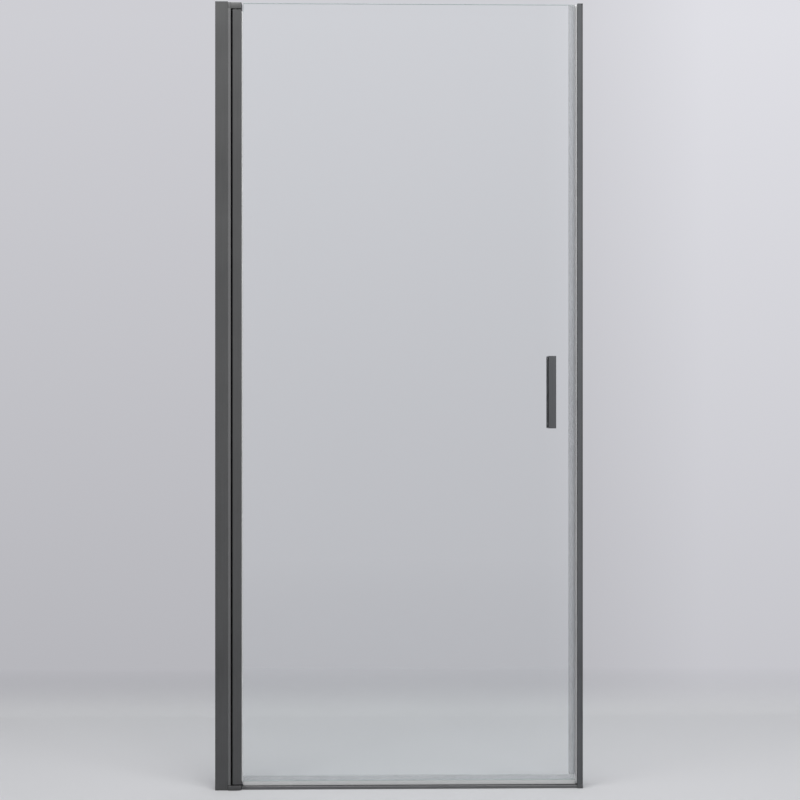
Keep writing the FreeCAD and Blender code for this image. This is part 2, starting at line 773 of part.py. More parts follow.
def threshold_section(inset):
    """The threshold's outline, or the outline of its hollow, which lies inside it by an inset."""
    radius = max(THRESHOLD_EDGE_RADIUS - inset, 0)
    half = threshold_half - inset
    return [
        (-half, inset),
        (half, inset),
        (half, THRESHOLD_HEIGHT - inset, radius),
        (-half, THRESHOLD_HEIGHT - inset, radius),
    ]


def threshold_bar():
    bar = prism("x", threshold_start, cover_start, threshold_section(0))
    return bar.cut(prism("x", threshold_start, cover_start, threshold_section(THRESHOLD_WALL)))


def threshold_end_cap():
    head = prism("x", bottom_bracket_end, threshold_start, threshold_section(0))
    plug = threshold_section(THRESHOLD_WALL + SLIDE_CLEARANCE)
    return head.fuse(prism("x", threshold_start, threshold_start + END_CAP_TONGUE, plug)).removeSplitter()


# Handles

def finger_groove(side, mouth, inset):
    """The space of a finger groove from its mouth to its end wall, or one that lies inside it by an inset."""
    back = side * (groove_back + inset)
    front = side * (groove_front - inset)
    end = handle_right - HANDLE_WEB - inset
    radius = GROOVE_RADIUS - inset
    section = [(mouth, back), (end, back, radius), (end, front, radius), (mouth, front)]
    return prism("z", handle_bottom + HANDLE_END, handle_top - HANDLE_END, section)


def handle(side):
    """A bar with a finger groove along its hinge side. Two pillars in the groove take the bolts."""
    plan = [
        (handle_left, side * handle_back),
        (handle_right, side * handle_back),
        (handle_right, side * handle_front, HANDLE_EDGE_RADIUS),
        (handle_left, side * handle_front, HANDLE_EDGE_RADIUS),
    ]
    profile = [
        (side * handle_back, handle_bottom),
        (side * handle_back, handle_top),
        (side * handle_front, handle_top, HANDLE_EDGE_RADIUS),
        (side * handle_front, handle_bottom, HANDLE_EDGE_RADIUS),
    ]
    bar = prism("z", handle_bottom, handle_top, plan).common(prism("x", handle_left, handle_right, profile))
    bar = bar.cut(finger_groove(side, handle_left - OVERRUN, 0))
    pillar_ends = (side * (handle_back + HANDLE_BASE / 2), side * (handle_front - HANDLE_FRONT / 2))
    return bar.fuse([rod("y", *pillar_ends, bolt_x, z, pillar_radius) for z in bolt_heights])


def handle_outside():
    end = -handle_back - BOLT_THREAD - HEAD_CLEARANCE
    cutters = [rod("y", OVERRUN - handle_back, end, bolt_x, z, bolt_hole) for z in bolt_heights]
    return handle(-1).cut(cutters).removeSplitter()


def handle_inside():
    cutters = []
    for z in bolt_heights:
        cutters.append(rod("y", handle_back - OVERRUN, bolt_seat, bolt_x, z, bolt_hole))
        cutters.append(rod("y", bolt_seat, handle_front + OVERRUN, bolt_x, z, bolt_head_room))
    return handle(1).cut(cutters).removeSplitter()


def handle_liners():
    """A soft black lining on the walls of each finger groove, with room for the pillars."""
    liners = []
    for side in (-1, 1):
        lining = finger_groove(side, handle_left + LINER_SETBACK, 0)
        lining = lining.cut(finger_groove(side, handle_left - OVERRUN, LINER_THICKNESS))
        ends = (side * handle_back, side * handle_front)
        rooms = [rod("y", *ends, bolt_x, z, pillar_radius + SLIDE_CLEARANCE) for z in bolt_heights]
        liners.append(lining.cut(rooms))
    return liners


def handle_bolts():
    length = bolt_seat + handle_back + BOLT_THREAD
    return [screw("y", bolt_seat, -1, bolt_x, z, length,
                  HANDLE_BOLT_RADIUS, BOLT_HEAD_RADIUS, BOLT_HEAD_HEIGHT) for z in bolt_heights]


def handle_bolt_caps():
    radius = bolt_head_room - SEAT_CLEARANCE
    start = handle_front - BOLT_CAP_THICKNESS
    return [rod("y", start, handle_front, bolt_x, z, radius) for z in bolt_heights]


def handle_sleeves():
    return [rod("y", -glass_half, glass_half, bolt_x, z, sleeve_radius).cut(
            rod("y", -glass_half, glass_half, bolt_x, z, bolt_hole)) for z in bolt_heights]


def handle_gaskets():
    gaskets = []
    for side in (-1, 1):
        low = min(side * glass_half, side * handle_back)
        pad = block(handle_left + HANDLE_GASKET_INSET, handle_right - HANDLE_GASKET_INSET,
                    low, low + HANDLE_GASKET,
                    handle_bottom + HANDLE_GASKET_INSET, handle_top - HANDLE_GASKET_INSET)
        holes = [rod("y", low, low + HANDLE_GASKET, bolt_x, z, bolt_hole) for z in bolt_heights]
        gaskets.append(pad.cut(holes))
    return gaskets


# Every node by its name. A list is a group of alike pieces in one node.
pieces = {
    "hinge_wall_channel": hinge_wall_channel(),
    "channel_top_cap": channel_top_cap(),
    "hinge_post": hinge_post(),
    "adjust_screws": adjust_screws(),
    "adjust_screw_caps": adjust_screw_caps(),
    "hinge_gap_seal": hinge_gap_seal(),
    "top_pivot_bracket": top_pivot_bracket(),
    "top_bracket_screws": bracket_screws(frame_cap_bottom, -1),
    "top_pivot_pin": pivot_pin(top_pin_top, stile_cap_top - PIN_REACH),
    "bottom_pivot_bracket": bottom_pivot_bracket(),
    "bottom_bracket_screws": bracket_screws(0, 1),
    "bottom_pivot_pin": pivot_pin(PIN_FLOOR, stile_cap_bottom + PIN_REACH),
    "pin_grub_screws": pin_grub_screws(),
    "thrust_washer": thrust_washer(),
    "threshold_bar": threshold_bar(),
    "threshold_end_cap": threshold_end_cap(),
    "strike_foot": strike_end(0, STRIKE_FOOT_HEIGHT, STRIKE_FOOT_HEIGHT, STRIKE_FOOT_HEIGHT + STRIKE_TONGUE),
    "strike_wall_rail": strike_wall_rail(),
    "strike_cover": strike_cover(),
    "strike_cover_screws": strike_cover_screws(),
    "strike_top_cap": strike_end(frame_cap_bottom, FRAME_HEIGHT,
                                 frame_cap_bottom - STRIKE_TONGUE, frame_cap_bottom),
    "strike_magnet_seal": strike_magnet_seal(),
    "strike_magnet": magnet_bar(strike_seal_face, strike_seal_bottom, frame_cap_bottom),
    "glass_panel": glass_panel(),
    "hinge_stile": hinge_stile(),
    "stile_top_cap": stile_cap(stile_top, stile_cap_top, stile_top - STILE_CAP_TONGUE, stile_top),
    "stile_bottom_cap": stile_cap(stile_cap_bottom, stile_bottom,
                                  stile_bottom, stile_bottom + STILE_CAP_TONGUE),
    "top_bush": pivot_bush(stile_cap_top, -1),
    "bottom_bush": pivot_bush(stile_cap_bottom, 1),
    "glazing_gasket": glazing_gasket(),
    "glass_setting_block": glass_setting_block(),
    "drip_seal": drip_seal(),
    "door_magnet_seal": door_magnet_seal(),
    "door_magnet": magnet_bar(door_seal_face - seal_box, door_seal_bottom, FRAME_HEIGHT),
    "handle_outside": handle_outside(),
    "handle_inside": handle_inside(),
    "handle_liners": handle_liners(),
    "handle_gaskets": handle_gaskets(),
    "handle_bolts": handle_bolts(),
    "handle_sleeves": handle_sleeves(),
    "handle_bolt_caps": handle_bolt_caps(),
}

os.makedirs("parts", exist_ok=True)
for name, shape in pieces.items():
    if isinstance(shape, list):
        shape = Part.makeCompound(shape)
    shape.exportStep(f"parts/{name}.step")
    print(f"{name}: {len(shape.Solids)} solid(s), {shape.Volume / 1000:.2f} cm3, valid {shape.isValid()}")
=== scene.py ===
# %% [markdown]
# # A pivot shower door, dressed in Blender
# The door is a clear glass leaf in a slim grey stile. It turns on pins between two brackets and closes on
# a magnetic strip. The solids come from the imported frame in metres, and this lesson gives them their
# finishes, adds the soft pieces that are easier to shape by hand, and lights the whole in a plain studio.

# %% Load the frame
import json
import math

import bpy
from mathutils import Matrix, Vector

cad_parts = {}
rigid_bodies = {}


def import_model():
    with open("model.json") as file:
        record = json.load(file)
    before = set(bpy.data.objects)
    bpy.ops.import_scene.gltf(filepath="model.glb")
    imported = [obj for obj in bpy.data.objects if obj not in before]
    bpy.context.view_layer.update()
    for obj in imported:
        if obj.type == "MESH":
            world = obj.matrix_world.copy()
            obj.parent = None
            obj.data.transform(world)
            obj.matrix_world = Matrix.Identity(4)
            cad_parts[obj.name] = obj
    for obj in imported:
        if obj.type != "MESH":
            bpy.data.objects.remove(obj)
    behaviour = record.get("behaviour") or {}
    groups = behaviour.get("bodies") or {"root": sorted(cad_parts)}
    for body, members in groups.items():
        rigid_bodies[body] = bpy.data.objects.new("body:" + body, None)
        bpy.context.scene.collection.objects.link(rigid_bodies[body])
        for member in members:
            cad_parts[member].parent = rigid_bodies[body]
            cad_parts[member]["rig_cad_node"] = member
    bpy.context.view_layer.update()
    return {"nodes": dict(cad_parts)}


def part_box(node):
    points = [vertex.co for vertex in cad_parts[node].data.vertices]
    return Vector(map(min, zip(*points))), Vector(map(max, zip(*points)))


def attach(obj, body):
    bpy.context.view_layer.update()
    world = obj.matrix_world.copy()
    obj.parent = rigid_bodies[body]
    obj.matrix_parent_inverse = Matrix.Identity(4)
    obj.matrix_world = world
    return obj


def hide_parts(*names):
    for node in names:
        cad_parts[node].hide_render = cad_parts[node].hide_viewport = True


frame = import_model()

nodes = frame["nodes"]
scene = bpy.context.scene

# %% [markdown]
# ## Camera
# The door is seen almost square on, from the height of its handle and from about three metres away, with a
# lens a little longer than normal. The camera is level, so the uprights stay upright. It stands a little
# left of the middle and turns a little to the right, so the hinge side comes out a trace larger than the
# closing side.

# %% Camera
CAMERA_PLACE = (-0.0455, -2.9877, 0.9400)
CAMERA_RAISE = math.radians(90)
CAMERA_TURN = math.radians(-0.898)
CAMERA_LENS = 55.44
CAMERA_REACH = 50

bpy.ops.object.camera_add(location=CAMERA_PLACE, rotation=(CAMERA_RAISE, 0, CAMERA_TURN))
camera = bpy.context.object
camera.name = "door_camera"
camera.data.lens = CAMERA_LENS
camera.data.clip_end = CAMERA_REACH
scene.camera = camera
print("camera lens:", camera.data.lens)


# %% [markdown]
# ## Selecting
# An operator works on everything that is selected, and loading leaves the solids selected. Each modelling
# step therefore clears the selection first. Edit mode belongs to one object, so it is left before another
# object is touched.

# %% Clearing the selection
def leave_edit_mode():
    """Goes back to object mode."""
    if bpy.context.mode != "OBJECT":
        bpy.ops.object.mode_set(mode="OBJECT")


def clear_selection():
    """Leaves edit mode and selects nothing."""
    leave_edit_mode()
    bpy.ops.object.select_all(action="DESELECT")


def select_only(piece):
    """Selects one object and makes it the active one."""
    clear_selection()
    piece.select_set(True)
    bpy.context.view_layer.objects.active = piece


clear_selection()
print("selected objects:", len(bpy.context.selected_objects))


# %% [markdown]
# Inside a mesh, edges and faces are picked by their place or by where they look, as one would click them.
# All marks are cleared before, because a face that keeps its mark would mark its edges again on the way
# into edit mode.

# %% Picking edges and faces
def clear_marks(mesh):
    """Takes the selection off all points, edges and faces of a mesh."""
    for group in (mesh.vertices, mesh.edges, mesh.polygons):
        group.foreach_set("select", [False] * len(group))


def pick_edges(piece, test):
    """Selects the edges whose two ends pass a test, stays in edit mode, and counts them."""
    leave_edit_mode()
    mesh = piece.data
    clear_marks(mesh)
    for edge in mesh.edges:
        edge.select = test(*(mesh.vertices[i].co for i in edge.vertices))
    chosen = sum(edge.select for edge in mesh.edges)
    bpy.ops.object.mode_set(mode="EDIT")
    bpy.ops.mesh.select_mode(type="EDGE")
    return chosen


def pick_faces(piece, test):
    """Selects the faces whose normal passes a test, stays in edit mode, and counts them."""
    leave_edit_mode()
    mesh = piece.data
    clear_marks(mesh)
    for face in mesh.polygons:
        face.select = test(face.normal)
    chosen = sum(face.select for face in mesh.polygons)
    bpy.ops.object.mode_set(mode="EDIT")
    bpy.ops.mesh.select_mode(type="FACE")
    return chosen


print("picks:", pick_edges.__name__, pick_faces.__name__)

# %% [markdown]
# ## Stage
# A plain pale floor runs into a plain backdrop with a soft cove, as in a photo studio. The floor is one plane
# just under the door, so that the two never share a surface. Only the floor takes the door's shadow.

# %% Floor
STAGE_HALF_WIDTH = 7.0
STAGE_FRONT = -7.0
STAGE_BACK = 0.78
FLOOR_DROP = 0.0004

clear_selection()
floor_middle = (0, (STAGE_FRONT + STAGE_BACK) / 2, -FLOOR_DROP)
bpy.ops.mesh.primitive_plane_add(size=1, location=floor_middle)
stage = bpy.context.object
stage.name = "studio_stage"
stage.scale = (2 * STAGE_HALF_WIDTH, STAGE_BACK - STAGE_FRONT, 1)
bpy.ops.object.transform_apply(location=True, rotation=True, scale=True)
print("floor size:", [round(v, 2) for v in stage.dimensions])

# %% [markdown]
# The rear edge of the floor is extruded upwards into the backdrop, and the corner between them is bevelled
# into the cove.

# %% Backdrop and cove
STAGE_HEIGHT = 6.0
COVE_RADIUS = 0.12
COVE_STEPS = 8


def at_back(a, b):
    """Whether an edge lies at the back of the stage."""
    return min(a.y, b.y) > STAGE_BACK - COVE_RADIUS


pick_edges(stage, at_back)
bpy.ops.mesh.extrude_region_move(TRANSFORM_OT_translate={"value": (0, 0, STAGE_HEIGHT)})
pick_edges(stage, lambda a, b: at_back(a, b) and max(a.z, b.z) < COVE_RADIUS)
bpy.ops.mesh.bevel(offset=COVE_RADIUS, segments=COVE_STEPS)
select_only(stage)
bpy.ops.object.shade_smooth()
print("stage faces:", len(stage.data.polygons))


# %% [markdown]
# ## Building materials from nodes
# Every finish is a node tree. A few short helpers place a node, set its sockets and link it, so that each
# material below reads as a recipe. The first one takes a value or another node's socket for each input.

# %% Placing a node
def add_node(tree, kind, inputs=None, **settings):
    """A node with its settings, and with its inputs set to a value or linked to another socket."""
    node = tree.nodes.new(kind)
    for name, value in settings.items():
        setattr(node, name, value)
    for name, value in (inputs or {}).items():
        if isinstance(value, bpy.types.NodeSocket):
            tree.links.new(value, node.inputs[name])
        else:
            node.inputs[name].default_value = value
    return node


def new_tree(owner):
    """The emptied node tree of a material or a world."""
    owner.use_nodes = True
    owner.node_tree.nodes.clear()
    return owner.node_tree


def new_material(name):
    """A material and its empty node tree."""
    material = bpy.data.materials.new(name)
    return material, new_tree(material)


def object_place(tree):
    """Where a point lies on its own object. The pattern then stays on the piece when the piece moves."""
    return add_node(tree, "ShaderNodeTexCoord").outputs["Object"]


print("materials so far:", len(bpy.data.materials))


# %% [markdown]
# Values and colours are moved from one range to another, added up and mixed. The mix node has several
# sockets of the same name, one for each kind of data, so its colour sockets are found by their numbers.

# %% Sums, ranges and mixes
MIX_SHARE = 0
MIX_FIRST = 6
MIX_SECOND = 7
MIX_RESULT = 2


def math_node(tree, operation, *values):
    """The result of one sum."""
    return add_node(tree, "ShaderNodeMath", dict(enumerate(values)), operation=operation).outputs[0]


def vector_math(tree, operation, inputs, result="Vector"):
    """The result of one sum with vectors: a vector, or a value such as a length."""
    return add_node(tree, "ShaderNodeVectorMath", inputs, operation=operation).outputs[result]


def spread_to(tree, value, low, high, start=0.0, end=1.0):
    """A value moved from one range to another."""
    node = add_node(tree, "ShaderNodeMapRange", {
        "Value": value, "From Min": start, "From Max": end, "To Min": low, "To Max": high})
    return node.outputs["Result"]


def mixed(tree, share, first, second):
    """A colour between two colours."""
    inputs = {MIX_SHARE: share, MIX_FIRST: first, MIX_SECOND: second}
    return add_node(tree, "ShaderNodeMix", inputs, data_type="RGBA").outputs[MIX_RESULT]


def tone_ramp(tree, value, stops):
    """A colour that runs through several stops, each with its position and colour."""
    node = add_node(tree, "ShaderNodeValToRGB", {"Fac": value})
    points = node.color_ramp.elements
    points.remove(points[1])
    points[0].position, points[0].color = stops[0]
    for position, colour in stops[1:]:
        points.new(position).color = colour
    return node.outputs["Color"]


print("sums:", [helper.__name__ for helper in (math_node, vector_math, spread_to, mixed, tone_ramp)])


# %% [markdown]
# Two shaders can be mixed as well. The stage and the sky use that to look different to the rays that make
# the picture, straight or through glass or in a reflection, than to the rays that carry light.

# %% Mixing shaders
def mix_shaders(tree, share, first, second):
    """A shader between two shaders."""
    return add_node(tree, "ShaderNodeMixShader", {0: share, 1: first, 2: second}).outputs[0]


def picture_rays(tree):
    """One for rays that come from the camera, from a reflection or through glass, and zero for others."""
    rays = add_node(tree, "ShaderNodeLightPath").outputs
    shown = math_node(tree, "MAXIMUM", rays["Is Camera Ray"], rays["Is Glossy Ray"])
    return math_node(tree, "MAXIMUM", shown, rays["Is Transmission Ray"])


def end_with(tree, shader, kind="ShaderNodeOutputMaterial"):
    """Links the finished shader to the output of a material or a world."""
    add_node(tree, kind, {"Surface": shader})


print("shader helpers:", [helper.__name__ for helper in (mix_shaders, picture_rays, end_with)])

# %% [markdown]
# ## Finish of the stage
# The backdrop's tone holds painted light: a painted falloff makes it fade a little towards the floor, as
# though it were lit evenly from above, and a painted brightening makes it a little brighter to the right,
# the side of the second lamp.

# %% Tone of the backdrop
BACKDROP_TONES_WITH_PAINTED_FALLOFF = ((0.0, (0.462, 0.462, 0.492, 1)), (1.0, (0.618, 0.618, 0.655, 1)))
BACKDROP_PAINTED_FALLOFF_HEIGHT = 2.1
BACKDROP_PAINTED_SIDE_LIGHT = 1.2
BACKDROP_PAINTED_SIDE_LIGHT_START = 0.45
BACKDROP_PAINTED_SIDE_LIGHT_END = 0.95

studio_paint_with_painted_light, tree = new_material("studio_paint_with_painted_light")
place = object_place(tree)
parted = add_node(tree, "ShaderNodeSeparateXYZ", {"Vector": place}).outputs
height = parted["Z"]
# Painted light: the backdrop is brightened towards the right, the side of the second lamp.
painted_side_light = spread_to(tree, parted["X"], 1, BACKDROP_PAINTED_SIDE_LIGHT, BACKDROP_PAINTED_SIDE_LIGHT_START, BACKDROP_PAINTED_SIDE_LIGHT_END)
# Painted light: the backdrop's tone fades towards the floor, as though lit from above.
backdrop_tone_with_painted_light = tone_ramp(tree, spread_to(tree, height, 0, 1, 0, BACKDROP_PAINTED_FALLOFF_HEIGHT), BACKDROP_TONES_WITH_PAINTED_FALLOFF)
backdrop_tone_with_painted_light = vector_math(tree, "SCALE", {0: backdrop_tone_with_painted_light, "Scale": painted_side_light})
print("nodes for the backdrop:", len(tree.nodes))

# %% [markdown]
# The floor carries a painted pool of light: it is palest in a pool just behind the door, which is wider
# than it is deep, and darker away from it. Far out it takes the tone of the sky, so that no horizon shows.

# %% Tone of the floor
PAINTED_POOL_FLOOR_TONES = (
    (0.0, (0.70, 0.705, 0.72, 1)),
    (0.12, (0.68, 0.685, 0.70, 1)),
    (0.4, (0.60, 0.605, 0.62, 1)),
)
PAINTED_POOL_MIDDLE = (0.0, 0.35, 0.0)
PAINTED_POOL_STRETCH = (0.4, 1.0, 1.0)
HORIZON_TONE = (0.80, 0.805, 0.82, 1)
FLOOR_FADE_START = 1.3
FLOOR_FADE_END = 4.2

# Painted light: a pool of light painted on the floor, palest just behind the door.
painted_pool_place = vector_math(tree, "MULTIPLY", {0: place, 1: PAINTED_POOL_STRETCH})
from_painted_pool = vector_math(tree, "DISTANCE", {0: painted_pool_place, 1: PAINTED_POOL_MIDDLE}, "Value")
floor_tone_with_painted_pool = tone_ramp(tree, spread_to(tree, from_painted_pool, 0, 1, 0, FLOOR_FADE_END), PAINTED_POOL_FLOOR_TONES)
distance = vector_math(tree, "LENGTH", {0: place}, "Value")
far_share = spread_to(tree, distance, 0, 1, FLOOR_FADE_START, FLOOR_FADE_END)
print("nodes for backdrop and floor:", len(tree.nodes))

# %% [markdown]
# The backdrop and the far floor show their own tone, with its painted light, to the picture, and behave as
# pale paint for all other light; that paint holds the backdrop's painted falloff and the floor's painted
# pool of light. That keeps the background even, and the door's light plain. The back of the backdrop is
# open, so that the door can also be looked at from behind.

# %% Stage material
backdrop_share = spread_to(tree, height, 0, 1, 0, COVE_RADIUS)
above_floor = spread_to(tree, height, 0, 1, -FLOOR_DROP / 2, 0)
# Painted light: the tone shown to the picture carries the backdrop's painted falloff and brightening.
shown_tone_with_painted_light = mixed(tree, above_floor, HORIZON_TONE, backdrop_tone_with_painted_light)
shown_share = math_node(tree, "MAXIMUM", backdrop_share, far_share)
# Painted light: the paint carries the floor's painted pool and the backdrop's painted falloff.
paint_tone_with_painted_light = mixed(tree, backdrop_share, floor_tone_with_painted_pool, backdrop_tone_with_painted_light)
paint = add_node(tree, "ShaderNodeBsdfDiffuse", {"Color": paint_tone_with_painted_light}).outputs[0]
glow = add_node(tree, "ShaderNodeEmission", {"Color": shown_tone_with_painted_light, "Strength": 1.0}).outputs[0]
front = mix_shaders(tree, math_node(tree, "MULTIPLY", picture_rays(tree), shown_share), paint, glow)
open_back = add_node(tree, "ShaderNodeBsdfTransparent").outputs[0]
behind = add_node(tree, "ShaderNodeNewGeometry").outputs["Backfacing"]
end_with(tree, mix_shaders(tree, behind, front, open_back))
stage.data.materials.append(studio_paint_with_painted_light)
print("stage material nodes:", len(tree.nodes))

# %% [markdown]
# ## Light
# One broad softbox hangs high in front of the door and a weaker one stands to the right. They are large
# and near, so their light falls off down the door as daylight from above does.

# %% Softboxes
# Each softbox has its place, what it looks at, its width and length, and its power in watts.
SOFTBOXES = {
    "top_softbox": ((-0.3, -1.2, 3.9), (0.0, 0.0, 1.0), 2.8, 1.4, 74.0),
    "side_softbox": ((2.9, -2.2, 1.9), (0.0, 0.0, 1.1), 1.2, 2.0, 22.0),
}

for name, (spot, aim, width, length, power) in SOFTBOXES.items():
    turn = (Vector(aim) - Vector(spot)).to_track_quat("-Z", "Y").to_euler()
    bpy.ops.object.light_add(type="AREA", location=spot, rotation=turn)
    lamp = bpy.context.object
    lamp.name = name
    lamp.data.shape = "RECTANGLE"
    lamp.data.size = width
    lamp.data.size_y = length
    lamp.data.energy = power
    print(name, "power:", lamp.data.energy)

# %% [markdown]
# The sky around the stage fills the shadows with a weak white light. To the picture it shows a pale tone,
# which starts at the horizon with that of the far floor.

# %% Sky
SKY_FILL = 0.45
SKY_WHITE = (1.0, 1.0, 1.0, 1)
SKY_TONES = ((0.0, HORIZON_TONE), (0.3, (0.98, 0.985, 0.99, 1)), (1.0, SKY_WHITE))

scene.world = bpy.data.worlds.new("studio_sky")
tree = new_tree(scene.world)
upward = add_node(tree, "ShaderNodeTexCoord").outputs["Generated"]
upward = add_node(tree, "ShaderNodeSeparateXYZ", {"Vector": upward}).outputs["Z"]
sky_tone = tone_ramp(tree, upward, SKY_TONES)
fill = add_node(tree, "ShaderNodeBackground", {"Color": SKY_WHITE, "Strength": SKY_FILL}).outputs[0]
shown = add_node(tree, "ShaderNodeBackground", {"Color": sky_tone, "Strength": 1.0}).outputs[0]
end_with(tree, mix_shaders(tree, picture_rays(tree), fill, shown), "ShaderNodeOutputWorld")
scene.view_settings.view_transform = "Standard"
print("sky nodes:", len(tree.nodes))


# %% [markdown]
# ## Shared surface effects
# Each effect that several finishes use is one node group, so a material only sets how strong and how fine
# it is. A group gives out plain values, and the material makes colours, roughness and bumps of them.

# %% Helpers for effects
VECTOR = "NodeSocketVector"
FLOAT = "NodeSocketFloat"
NOISE_LOW = 0.3
NOISE_HIGH = 0.7


def new_group(name, inputs, outputs):
    """A node group with named inputs, each with its kind, and named values as outputs."""
    group = bpy.data.node_groups.new(name, "ShaderNodeTree")
    for label, kind in inputs.items():
        group.interface.new_socket(label, in_out="INPUT", socket_type=kind)
    for label in outputs:
        group.interface.new_socket(label, in_out="OUTPUT", socket_type=FLOAT)
    start = group.nodes.new("NodeGroupInput")
    end = group.nodes.new("NodeGroupOutput")
    return group, start.outputs, end.inputs


def noise(tree, place, scale, detail=2.0, rough=0.5):
    """The grey value of a noise texture. Most of it lies between NOISE_LOW and NOISE_HIGH."""
    node = add_node(tree, "ShaderNodeTexNoise", {
        "Vector": place, "Scale": scale, "Detail": detail, "Roughness": rough})
    return node.outputs["Fac"]


def stretched(tree, place, stretch):
    """Coordinates squeezed or stretched along each axis."""
    return vector_math(tree, "MULTIPLY", {0: place, 1: stretch})


print("kinds of sockets:", VECTOR, FLOAT)

# %% [markdown]
# Drawn metal has fine lines along its length, a faint cloudiness from the anodising bath, and a sparkle of
# fine grain. The lines are a noise that is stretched along the profile.

# %% Drawn metal
METAL_LINE = {"detail": 3.0, "rough": 0.6}
METAL_CLOUD = {"scale": 5.0, "detail": 3.0, "rough": 0.55}
METAL_GRAIN = {"scale": 2600.0, "detail": 1.0}

drawn_metal, given, made = new_group(
    "drawn_metal", {"Place": VECTOR, "Stretch": VECTOR, "Lines": FLOAT}, ["Line", "Cloud", "Grain"])
along = stretched(drawn_metal, given["Place"], given["Stretch"])
drawn_metal.links.new(noise(drawn_metal, along, given["Lines"], **METAL_LINE), made["Line"])
drawn_metal.links.new(noise(drawn_metal, given["Place"], **METAL_CLOUD), made["Cloud"])
drawn_metal.links.new(noise(drawn_metal, given["Place"], **METAL_GRAIN), made["Grain"])
print(drawn_metal.name, "nodes:", len(drawn_metal.nodes))

# %% [markdown]
# A moulded skin has a pebbled height, from the etched mould, and a slow drift of tone.

# %% Moulded skin
SKIN_DRIFT = {"scale": 18.0}

moulded_skin, given, made = new_group(
    "moulded_skin", {"Place": VECTOR, "Pebbles": FLOAT}, ["Pebble", "Drift"])
pebbles = {"Vector": given["Place"], "Scale": given["Pebbles"]}
pebble = add_node(moulded_skin, "ShaderNodeTexVoronoi", pebbles, feature="SMOOTH_F1")
moulded_skin.links.new(pebble.outputs["Distance"], made["Pebble"])
moulded_skin.links.new(noise(moulded_skin, given["Place"], **SKIN_DRIFT), made["Drift"])
print(moulded_skin.name, "nodes:", len(moulded_skin.nodes))

# %% [markdown]
# Drawn vinyl has slow waves along the strip, and fine lines from the die.

# %% Drawn vinyl
VINYL_WAVE = {"scale": 14.0, "detail": 1.0}
VINYL_LINE = {"scale": 700.0}

drawn_vinyl, given, made = new_group("drawn_vinyl", {"Place": VECTOR, "Stretch": VECTOR}, ["Wave", "Line"])
along = stretched(drawn_vinyl, given["Place"], given["Stretch"])
drawn_vinyl.links.new(noise(drawn_vinyl, given["Place"], **VINYL_WAVE), made["Wave"])
drawn_vinyl.links.new(noise(drawn_vinyl, along, **VINYL_LINE), made["Line"])
print(drawn_vinyl.name, "nodes:", len(drawn_vinyl.nodes))


# %% [markdown]
# ## Gunmetal aluminium
# The profiles are drawn aluminium with a satin, dark grey anodised skin. The lines and the cloud together
# give the tone. The skin is a little rougher where the cloud is thick, and the bump is far too fine to see
# except in a highlight.

# %% Satin metal
LINE_SHARE = 0.45
CLOUD_SHARE = 0.55
GRAIN_SHARE = 0.5
UNEVEN_LOW = 0.5
UNEVEN_HIGH = 1.0
METAL_SMOOTHER = 0.05
METAL_ROUGHER = 0.06
LINE_BUMP = 0.25
LINE_DEPTH = 0.00004


def bumped(tree, height, strength, distance):
    """A normal from a height."""
    inputs = {"Height": height, "Strength": strength, "Distance": distance}
    return add_node(tree, "ShaderNodeBump", inputs).outputs["Normal"]


def satin_metal(name, stretch, deep, pale, rough, lines):
    """Anodised or turned metal with lines along one direction."""
    material, tree = new_material(name)
    inputs = {"Place": object_place(tree), "Stretch": stretch, "Lines": lines}
    effect = add_node(tree, "ShaderNodeGroup", inputs, node_tree=drawn_metal).outputs
    lined = math_node(tree, "MULTIPLY", effect["Line"], LINE_SHARE)
    tone = math_node(tree, "ADD", lined, math_node(tree, "MULTIPLY", effect["Cloud"], CLOUD_SHARE))
    grain = math_node(tree, "MULTIPLY", effect["Grain"], GRAIN_SHARE)
    uneven = math_node(tree, "ADD", effect["Cloud"], grain)
    least, most = rough - METAL_SMOOTHER, rough + METAL_ROUGHER
    shader = add_node(tree, "ShaderNodeBsdfPrincipled", {
        "Base Color": mixed(tree, spread_to(tree, tone, 0, 1, NOISE_LOW, NOISE_HIGH), deep, pale),
        "Metallic": 1.0,
        "Roughness": spread_to(tree, uneven, least, most, UNEVEN_LOW, UNEVEN_HIGH),
        "Normal": bumped(tree, effect["Line"], LINE_BUMP, LINE_DEPTH),
    })
    end_with(tree, shader.outputs[0])
    return material


print("recipe:", satin_metal.__name__)

# %% [markdown]
# Uprights and the threshold share the recipe with another direction. Profiles from different batches never
# match quite: the post is a trace paler than the channel it slides in, the handles and the strike profile
# are a trace cooler, and the threshold is paler too. The cast brackets and the steel screws have no
# direction.

# %% Metal finishes
UPRIGHT = (1.0, 1.0, 0.012)
LENGTHWISE = (0.012, 1.0, 1.0)
ALL_WAYS = (1.0, 1.0, 1.0)
GUNMETAL = ((0.094, 0.0945, 0.0955, 1), (0.122, 0.1225, 0.1235, 1))
POST_METAL = ((0.165, 0.1655, 0.166, 1), (0.205, 0.2055, 0.206, 1))
COOL_METAL = ((0.108, 0.111, 0.117, 1), (0.139, 0.143, 0.150, 1))
SILL_METAL = ((0.140, 0.1415, 0.145, 1), (0.178, 0.180, 0.184, 1))
STEEL = ((0.46, 0.455, 0.44, 1), (0.60, 0.595, 0.58, 1))
